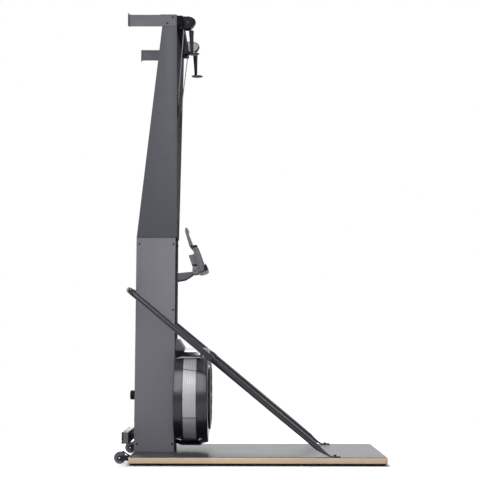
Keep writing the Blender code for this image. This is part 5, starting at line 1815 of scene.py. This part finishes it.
    def screen(self) -> None:
        """Wrap the perforated band from hexagonal cells; below, it laps over itself, and that lapped part is
        painted darker as painted shade.
        """
        start, end = self.band
        around = round(tau * self.screen_radius / self.cell)
        pitch = self.cell * sqrt(3) / 2
        rows = int((end - start) / pitch) + 1
        spots, lapped = [], []
        for row in range(rows):
            x = (start + end) / 2 + (row - (rows - 1) / 2) * pitch
            for step in range(around):
                turn = tau * (step + 0.5 * (row % 2)) / around
                out = self.outward(turn)
                frame = Matrix((Vector((1, 0, 0)), out.cross(Vector((1, 0, 0))), out)).transposed()
                place = Vector(self.shop.at(x, 0, self.z)) + out * self.screen_radius
                # Painted shade: the cells of the band's lower part take the darker lapped silver
                low = self.lap_start < degrees(turn) < 540 - self.lap_start
                (lapped if low else spots).append(Spot(tuple(place), frame.to_euler()))
        pattern = self.cell_shape()
        band = self.shop.copies("fan_screen_band", pattern.copy(), spots, Surface.SCREEN)
        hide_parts("fan_screen")
        self.shop.copies("fan_screen_lap", pattern, lapped, Surface.SCREEN_LAP)

    def screen_edges(self) -> None:
        """Add the band's plain margins and its two seams."""
        r, margin = self.screen_radius, self.screen_margin
        for name, low in (("rear", self.screen_start), ("front", self.screen_end - margin)):
            profile = [(r - 0.001, low), (r - 0.001, low + margin), (r, low + margin), (r, low)]
            hem = turned(f"hem_{name}", profile, self.centre, "X", RING_STEPS)
            self.shop.piece(f"fan_screen_hem_{name}", hem, Surface.SCREEN)
        start, end = self.band
        half = (end - start) / 2
        for number, (angle, slant) in enumerate((self.slanted_seam, (self.lap_start, 0.0))):
            name = f"fan_screen_seam_{number}"
            seam = block(name, (-half, -self.seam_half, 0.0), (half, self.seam_half, self.seam_thickness))
            lay = Matrix.Translation(((start + end) / 2, 0, r - FIT_GAP))
            slanted = lay @ Matrix.Rotation(radians(slant), 4, "Z")
            turn = Matrix.Rotation(radians(angle - 90), 4, "X")
            seam.transform(Matrix.Translation(self.shop.at(0, 0, self.z)) @ turn @ slanted)
            self.shop.piece(name, seam, Surface.DARK_PAINT)

    def end_plate(self, name: str, outline: Sequence[Point2], angle: float, way: int,
                  reach: float = 0.0) -> None:
        """Lay a thin pale plate on the end face of a clip, as a painted highlight where the black clip's end
        catches light.

        Args:
            name: The piece's name.
            outline: Its corners, as the distance from the platform's rear edge and the height over the ring.
            angle: The clip's angle, in degrees.
            way: 1 where the end face looks towards greater angles, else -1.
            reach: How far the end face is from the clip's middle.
        """
        turn = radians(angle)
        out = self.outward(turn)
        away = Vector((0, -sin(turn), cos(turn))) * way
        frame = Matrix((Vector((1, 0, 0)), out, away)).transposed().to_4x4()
        place = Vector(self.centre) + out * (self.radius + FIT_GAP) + away * reach
        plate = slab(name, outline, -self.lip_sink, self.lip_height, "Z")
        plate.transform(Matrix.Translation(place) @ frame)
        if way < 0:
            plate.flip_normals()
        self.shop.piece(name, plate, Surface.PALE_PLASTIC)

    def clips(self) -> None:
        """Round the clips over the band, lay pale plates that paint highlights on their ends, and bolt them.
        """
        for label in ("top_left", "top_right", "bottom"):
            self.shop.rounded(f"fan_clip_{label}", f"strap_{label}", Surface.CLIP_PLASTIC, 0.0012, 3)
        # Painted highlights: pale plates on the clips' end faces stand in for the light that these ends catch
        for side, way in SIDES:
            for end, outline in enumerate(self.cradle_lips):
                self.end_plate(f"cradle_lip_{side}_{end}", outline, 270.0 + way * self.cradle_half, way)
        for side, angle, way in (("left", self.clip_bolts[0], 1), ("right", self.clip_bolts[1], -1)):
            self.end_plate(f"clip_lip_{side}", self.clip_lip, angle, way, self.clip_half_width)
        for angle in self.clip_bolts:
            out = self.outward(radians(angle))
            place = Vector(self.shop.at(self.clip_middle, 0, self.z)) + out * (self.radius + self.clip_top)
            self.fasteners.put(Fastener.BUTTON, tuple(place), tuple(out), size=0.9, spin=23)

    def gusset(self) -> None:
        """Round the hood over the fan's crown and bolt its sides."""
        self.shop.rounded("fan_gusset", "crown_hood", Surface.ARM_PAINT, 0.001, 2)
        x, y, z = self.gusset_bolt
        for _, sign in SIDES:
            place = self.shop.at(x, sign * y, z)
            self.fasteners.put(Fastener.BUTTON, place, (0, sign, 0), Surface.ZINC, size=0.95)

    def drive(self) -> None:
        """Finish what turns inside, and the bearing's cap at the rear."""
        self.shop.dress(Surface.ZINC, "fan_shaft")
        self.shop.dress(Surface.ROTOR, "fan_rotor")
        self.shop.dress(Surface.BLACK_PLASTIC, "cord_drum_left", "cord_drum_right")
        bend = arc(self.bearing_bend, self.bearing_corner, 0, -90, 6)
        mesh = turned("bearing_cap", [*self.bearing_seat, *bend, *self.bearing_back], self.centre)
        self.shop.piece("bearing_cap", mesh, Surface.BLACK_PLASTIC, "frame", ("shaft_bearing_rear",))

    def build(self) -> None:
        """Make the fan."""
        self.rear_ring()
        self.front_ring()
        self.cover()
        self.dial()
        self.screen()
        self.screen_edges()
        self.clips()
        self.gusset()
        self.drive()


@dataclass
class Monitor(SubAssembly):
    """The monitor on its arm, with the shelf and the folding plate for a device."""

    face_top: Point2 = (0.308, 1.04)
    face_bottom: Point2 = (0.341, 0.948)
    screen_offset: float = -0.022
    screen_size: Point2 = (0.125, 0.066)
    screen_corner: float = 0.004
    bezel_half: Point2 = (0.094, 0.0425)
    bezel_corner: float = 0.006
    bezel_depth: float = 0.0012
    half_width: float = 0.1
    hinge_reach: float = 0.062
    hinge_inset: float = 0.003
    shelf_half: float = 0.09
    hinge_end: Outline = ((0.2745, 1.037), (0.3085, 1.04), (0.3065, 1.047), (0.303, 1.049), (0.2765, 1.047),
                          (0.2735, 1.043))
    clip: Outline = ((0.284, 1.047), (0.2885, 1.0475), (0.285, 1.06), (0.2825, 1.06))
    clip_span: Span = (-0.098, -0.09)
    lip_pad: Outline = ((0.342, 0.921), (0.35, 0.92), (0.3596, 0.925), (0.3589, 0.9342), (0.3549, 0.9463),
                        (0.3508, 0.9525), (0.3443, 0.9514), (0.342, 0.9445))
    lip_tip: Outline = ((0.3445, 0.9515), (0.3505, 0.9525), (0.3475, 0.959), (0.3462, 0.959))
    cheek: Outline = ((0.283, 0.9468), (0.3065, 0.9473), (0.314, 0.923), (0.3125, 0.91), (0.304, 0.9085),
                      (0.294, 0.907), (0.284, 0.911), (0.2805, 0.925))
    cheek_span: Span = (0.056, 0.06)
    box_foot: Outline = ((0.2785, 0.9545), (0.3045, 0.9545), (0.307, 0.9458), (0.2805, 0.9452))
    box_half: float = 0.0605
    # The line under the arm along which a dark strip paints the shade, and that strip's size
    underside: Outline = ((0.205, 0.8703), (0.244, 0.8775), (0.262, 0.888), (0.284, 0.9035))
    edge_thickness: float = 0.004
    edge_half: float = 0.0222
    seam: Outline = ((0.2915, 1.0325), (0.3225, 0.918))
    seam_width: float = 0.0016
    tilt_bolt: Point3 = (0.294, 0.06, 0.921)
    arm_bolts: tuple[Point3, ...] = ((0.2044, 0.026, 0.88), (0.2044, 0.026, 0.905))

    def face_frame(self) -> Matrix:
        """Give the front face's frame.

        Returns:
            The turn and place that take X to Y, Y up along the face and Z outwards.
        """
        top, bottom = Vector(self.face_top), Vector(self.face_bottom)
        up = (top - bottom).normalized()
        middle = (top + bottom) / 2
        across, along, out = Vector((0, 1, 0)), Vector((up.x, 0, up.y)), Vector((up.y, 0, -up.x))
        frame = Matrix((across, along, out)).transposed().to_4x4()
        return Matrix.Translation(self.shop.at(middle.x, 0, middle.y)) @ frame

    def bezel(self) -> Mesh:
        """Make the black frame round the screen.

        Returns:
            The frame, in place.
        """
        (width, height), (across, up), depth = self.screen_size, self.bezel_half, self.bezel_depth
        outer = rounded_rectangle((-across, -up), (across, up), self.bezel_corner)
        inner = rounded_rectangle((self.screen_offset - width / 2, -height / 2),
                                  (self.screen_offset + width / 2, height / 2), self.screen_corner)
        shape = bmesh.new()
        loops = [[shape.verts.new((x, y, z)) for x, y in outline]
                 for outline, z in ((outer, 0.0), (outer, depth), (inner, depth), (inner, 0.0))]
        bridged(shape, loops + loops[:1])
        shape.transform(self.face_frame())
        return self.shop.eased("monitor_bezel", mesh_of(shape, "monitor_bezel"), 0.0004, 2)

    def strip(self, name: str, line: Sequence[Point2], thickness: float, low: float, high: float,
              surface: Surface, body: str) -> None:
        """Lay a thin strip along a line that is seen from the side.

        Args:
            name: The piece's name.
            line: Points of (x, z) from the platform's rear edge.
            thickness: The strip's thickness, above the line.
            low: Where it starts along Y.
            high: Where it ends along Y.
            surface: Its finish.
            body: The body that it rides on.
        """
        upper = [self.shop.flat(x, z + thickness) for x, z in line]
        lower = [self.shop.flat(x, z - FIT_GAP) for x, z in reversed(line)]
        self.shop.piece(name, slab(name, upper + lower, low, high, "Y"), surface, body)

    def trim(self, name: str, outline: Sequence[Point2], low: float, high: float, surface: Surface,
             rounding: float = 0.0006) -> None:
        """Add a small moulding on the monitor.

        Args:
            name: The piece's name.
            outline: Points of (x, z) from the platform's rear edge.
            low: Where it starts along Y.
            high: Where it ends along Y.
            surface: Its finish.
            rounding: The width of its edges' rounding.
        """
        points = [self.shop.flat(x, z) for x, z in outline]
        mesh = self.shop.eased(name, slab(name, points, low, high, "Y"), rounding, 2)
        self.shop.piece(name, mesh, surface, "monitor")

    def trims(self) -> None:
        """Add the hinge ends, the clip, the lip's pad, the cheeks by the tilt pin, the seams and a dark strip
        that paints the shade under the arm.
        """
        for side, sign in SIDES:
            ends = sorted((sign * self.hinge_reach, sign * (self.half_width - self.hinge_inset)))
            self.trim(f"hinge_end_{side}", self.hinge_end, *ends, Surface.BLACK_PLASTIC)
            ends = sorted(sign * y for y in self.cheek_span)
            self.trim(f"tilt_cheek_{side}", self.cheek, *ends, Surface.GREY_PAINT)
            (x, top), (foot, bottom) = self.seam
            outline = ((x, top), (x + self.seam_width, top), (foot + self.seam_width, bottom), (foot, bottom))
            ends = sorted((sign * (self.half_width - 0.001), sign * (self.half_width + 0.0002)))
            self.trim(f"housing_seam_{side}", outline, *ends, Surface.RUBBER, 0.0001)
        self.trim("box_foot", self.box_foot, -self.box_half, self.box_half, Surface.BLACK_PLASTIC)
        self.trim("top_clip", self.clip, *self.clip_span, Surface.PALE_PLASTIC, 0.0003)
        half, reach = self.shelf_half, self.shelf_half + FIT_GAP
        self.trim("shelf_lip_pad", self.lip_pad, -reach, reach, Surface.BLACK_PLASTIC)
        self.trim("shelf_lip_tip", self.lip_tip, -half, half, Surface.PALE_PLASTIC, 0.0003)
        # Painted shade: a dark strip along the arm's underside stands in for the shade under it
        self.strip("arm_edge", self.underside, self.edge_thickness, -self.edge_half, self.edge_half,
                   Surface.DARK_PAINT, "frame")

    def build(self) -> None:
        """Make the monitor and what holds it."""
        shop = self.shop
        shop.rounded("monitor_arm", "bracket_arm", Surface.ARM_PAINT, 0.001, 3)
        shop.rounded("monitor_housing", "housing_shell", Surface.GREY_PLASTIC, 0.0008, 3, "monitor")
        shop.rounded("monitor_rear_box", "battery_box", Surface.GREY_PLASTIC, 0.0012, 3, "monitor")
        shop.rounded("device_shelf", "shelf_tray", Surface.GREY_PLASTIC, 0.0009, 3, "monitor")
        shop.rounded("device_plate", "folding_plate", Surface.GREY_PLASTIC, 0.001, 3, "device_holder")
        shop.rounded("monitor_screen", "display_window", Surface.LENS, 0.0003, 2, "monitor")
        shop.piece("monitor_bezel", self.bezel(), Surface.BLACK_PLASTIC, "monitor")
        for number in (1, 2, 3):
            shop.rounded(f"monitor_button_{number}", f"key_{number}", Surface.RUBBER, 0.0005, 2,
                         f"button_{number}")
        self.trims()
        x, y, z = self.tilt_bolt
        for _, sign in SIDES:
            self.fasteners.put(Fastener.BUTTON, shop.at(x, sign * y, z), (0, sign, 0), size=0.9)
            for out, across, up in self.arm_bolts:
                self.fasteners.put(Fastener.BUTTON, shop.at(out, sign * across, up), (1, 0, 0), size=0.7)


@dataclass
class Brace(SubAssembly):
    """The bent tube round the column and its two legs, with foot bolts."""

    foot_x: float = 0.966
    y: float = 0.27
    foot_top: float = 0.0403
    smooth_angle: float = radians(40)

    def tube(self, node: str, name: str) -> None:
        """Stand a smooth copy in the place of a CAD node's tube."""
        mesh = smoothed(self.shop.copied(node, name), self.smooth_angle)
        self.shop.piece(name, mesh, Surface.BRACE_PAINT, "frame", (node,))

    def build(self) -> None:
        """Smooth the tubes and bolt the feet down."""
        self.tube("brace_loop", "brace_bow")
        for side, sign in SIDES:
            self.tube(f"brace_leg_{side}", f"brace_strut_{side}")
            place = self.shop.at(self.foot_x, sign * self.y, self.foot_top)
            self.fasteners.put(Fastener.HEX, place, (0, 0, 1), size=0.85)


# Studio


@dataclass(frozen=True)
class Lamp:
    """One soft light: where it hangs, what it points at, its width and height, and its power in watts."""

    name: str
    place: Point3
    target: Point3
    size: Point2
    power: float


@dataclass
class Studio:
    """The floor, the lights, the world and the camera."""

    shop: Workshop
    lens: float = 70.26
    sensor: float = 36.0
    camera_at: Point3 = (0.5319, -4.7383, 0.5778)
    yaw: float = -0.0026
    pitch: float = 0.1064
    roll: float = 0.0012
    floor_size: float = 60.0
    floor_shade: float = 0.6
    floor_roughness: float = 0.9
    floor_glow: float = 0.45
    floor_clear: float = 0.95
    # The floor's glow is nothing at the platform's outline and rises over these reaches, which paints a
    # contact shadow and a soft shadow round the platform
    glow_reach: Span = (-0.002, 0.018)
    clear_reach: Span = (0.018, 0.11)
    white_reach: Span = (0.9, 2.2)
    ambient: float = 0.13
    ambient_colour: Colour = (0.95, 0.97, 1.0)
    lamps: tuple[Lamp, ...] = (
        Lamp("top_softbox", (-0.25, 2.3, 4.8), (-0.1, 0.0, 0.0), (0.6, 0.9), 190.0),
        Lamp("side_softbox", (-0.5, -2.2, 2.0), (-0.4, 0.0, 1.1), (1.0, 2.6), 41.0),
        Lamp("front_softbox", (3.6, 1.2, 2.4), (0.0, 0.0, 1.0), (1.6, 2.0), 36.0),
        Lamp("rear_softbox", (-3.2, 1.6, 2.4), (0.0, 0.0, 1.0), (1.6, 2.0), 45.0),
    )

    def camera(self) -> None:
        """Stand the camera where the photograph was taken."""
        data = bpy.data.cameras.new("photo_camera")
        data.lens, data.sensor_width = self.lens, self.sensor
        camera = placed("photo_camera", data)
        level = cos(self.pitch)
        forward = Vector((sin(self.yaw) * level, cos(self.yaw) * level, sin(self.pitch)))
        right = Vector((cos(self.yaw), -sin(self.yaw), 0.0))
        up = right.cross(forward)
        tilted_right = right * cos(self.roll) + up * sin(self.roll)
        tilted_up = up * cos(self.roll) - right * sin(self.roll)
        turn = Matrix((tilted_right, tilted_up, -forward)).transposed().to_4x4()
        camera.matrix_world = Matrix.Translation(self.shop.at(*self.camera_at)) @ turn
        bpy.context.scene.camera = camera

    def beside(self, graph: Graph) -> Socket:
        """Give the distance from the platform's outline.

        Args:
            graph: The floor's material.

        Returns:
            The distance, negative under the platform.
        """
        low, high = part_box("platform_board")
        reach = []
        for axis, start, end in (("X", low.x, high.x), ("Y", low.y, high.y)):
            shifted = graph.combined("SUBTRACT", graph.part(axis), (start + end) / 2)
            away = graph.combined("ABSOLUTE", shifted, 0.0)
            reach.append(graph.combined("SUBTRACT", away, (end - start) / 2))
        return graph.combined("MAXIMUM", *reach)

    def floor(self) -> None:
        """Lay the white floor: it takes the object's shadow, and far out it is as white as the backdrop. Its
        glow fades out near the platform's outline, which paints a contact shadow and a soft shadow round the
        platform.
        """
        half = self.floor_size / 2
        mesh = bpy.data.meshes.new("studio_floor")
        edge = [(-half, -half, 0), (half, -half, 0), (half, half, 0), (-half, half, 0)]
        mesh.from_pydata(edge, [], [(0, 1, 2, 3)])
        floor = placed("studio_floor", mesh)
        graph = Graph("white_floor")
        plain = graph.shader.outputs["BSDF"]
        shade = (self.floor_shade, self.floor_shade, self.floor_shade, 1.0)
        for key, value in (("Base Color", shade), ("Roughness", self.floor_roughness),
                           ("Specular IOR Level", 0.0)):
            graph.shader.inputs[key].default_value = value
        beside = self.beside(graph)
        # Painted shadow: the glow fades out towards the platform's outline, so the floor is painted darker
        # round it
        near = graph.level(beside, 0.0, self.floor_glow, *self.glow_reach)
        far = graph.level(beside, 0.0, self.floor_clear - self.floor_glow, *self.clear_reach)
        glow = graph.add("ShaderNodeEmission", {"Strength": graph.combined("ADD", near, far)})
        lit = graph.add("ShaderNodeAddShader", {0: plain, 1: glow.outputs["Emission"]})
        distance = graph.add("ShaderNodeVectorMath", {0: graph.place}, operation="LENGTH")
        away = graph.level(distance.outputs["Value"], 0.0, 1.0, *self.white_reach)
        white = graph.add("ShaderNodeEmission").outputs["Emission"]
        shown = graph.add("ShaderNodeMixShader", {0: away, 1: lit.outputs["Shader"], 2: white})
        path = graph.add("ShaderNodeLightPath").outputs
        seen = graph.combined("MAXIMUM", path["Is Camera Ray"], path["Is Glossy Ray"])
        result = graph.add("ShaderNodeMixShader", {0: seen, 1: plain, 2: shown.outputs["Shader"]})
        graph.tree.links.new(result.outputs["Shader"], graph.tree.nodes["Material Output"].inputs["Surface"])
        mesh.materials.append(graph.material)

    def hang(self, lamp: Lamp) -> None:
        """Hang one soft light.

        Args:
            lamp: The light.
        """
        data = bpy.data.lights.new(lamp.name, "AREA")
        data.shape, data.energy = "RECTANGLE", lamp.power
        data.size, data.size_y = lamp.size
        light = placed(lamp.name, data)
        direction = Vector(lamp.target) - Vector(lamp.place)
        turn = direction.to_track_quat("-Z", "Y").to_matrix().to_4x4()
        light.matrix_world = Matrix.Translation(lamp.place) @ turn

    def world(self) -> None:
        """Light the room evenly, and show white where the camera sees past the object."""
        world = bpy.data.worlds.new("studio_world")
        bpy.context.scene.world = world
        world.use_nodes = True
        world.node_tree.nodes.clear()
        maker = NodeMaker(world.node_tree)
        path = maker.add("ShaderNodeLightPath").outputs
        either = maker.combined("MAXIMUM", path["Is Camera Ray"], path["Is Transmission Ray"])
        seen = maker.combined("MAXIMUM", either, path["Is Glossy Ray"])
        room = {"Color": (*self.ambient_colour, 1.0), "Strength": self.ambient}
        lit = maker.add("ShaderNodeBackground", room).outputs["Background"]
        white = maker.add("ShaderNodeBackground", {"Color": (1.0, 1.0, 1.0, 1.0), "Strength": 1.0})
        mix = maker.add("ShaderNodeMixShader", {0: seen, 1: lit, 2: white.outputs["Background"]})
        maker.add("ShaderNodeOutputWorld", {"Surface": mix.outputs["Shader"]})

    def build(self) -> None:
        """Set up the studio."""
        self.camera()
        self.floor()
        self.world()
        for lamp in self.lamps:
            self.hang(lamp)
        bpy.context.scene.view_settings.view_transform = "Standard"


def corners(box: tuple[Vector, Vector]) -> list[list[float]]:
    """Turn a box into plain lists."""
    return [list(map(float, corner)) for corner in box]


def main() -> None:
    """Build every sub-assembly over the frame, then the studio."""
    logging.basicConfig(level=logging.INFO, format="%(name)s: %(message)s")
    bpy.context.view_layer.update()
    shop = Workshop()
    Studio(shop).build()
    fasteners = Fasteners(shop)
    for kind in (Platform, TransportWheels, Column, Bumper, Shroud, WallArms, PulleyHeads, Cords, Handles,
                 Fan, Monitor, Brace):
        kind(shop, fasteners).build()
        LOG.info("%s built", kind.__name__)
    fasteners.make()


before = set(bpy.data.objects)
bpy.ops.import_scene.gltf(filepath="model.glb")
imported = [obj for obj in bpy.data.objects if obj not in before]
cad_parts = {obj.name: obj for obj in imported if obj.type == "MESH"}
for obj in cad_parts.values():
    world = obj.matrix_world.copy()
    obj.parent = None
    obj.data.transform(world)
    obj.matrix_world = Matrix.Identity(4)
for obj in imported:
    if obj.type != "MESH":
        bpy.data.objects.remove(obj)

if __name__ == "__main__":
    main()
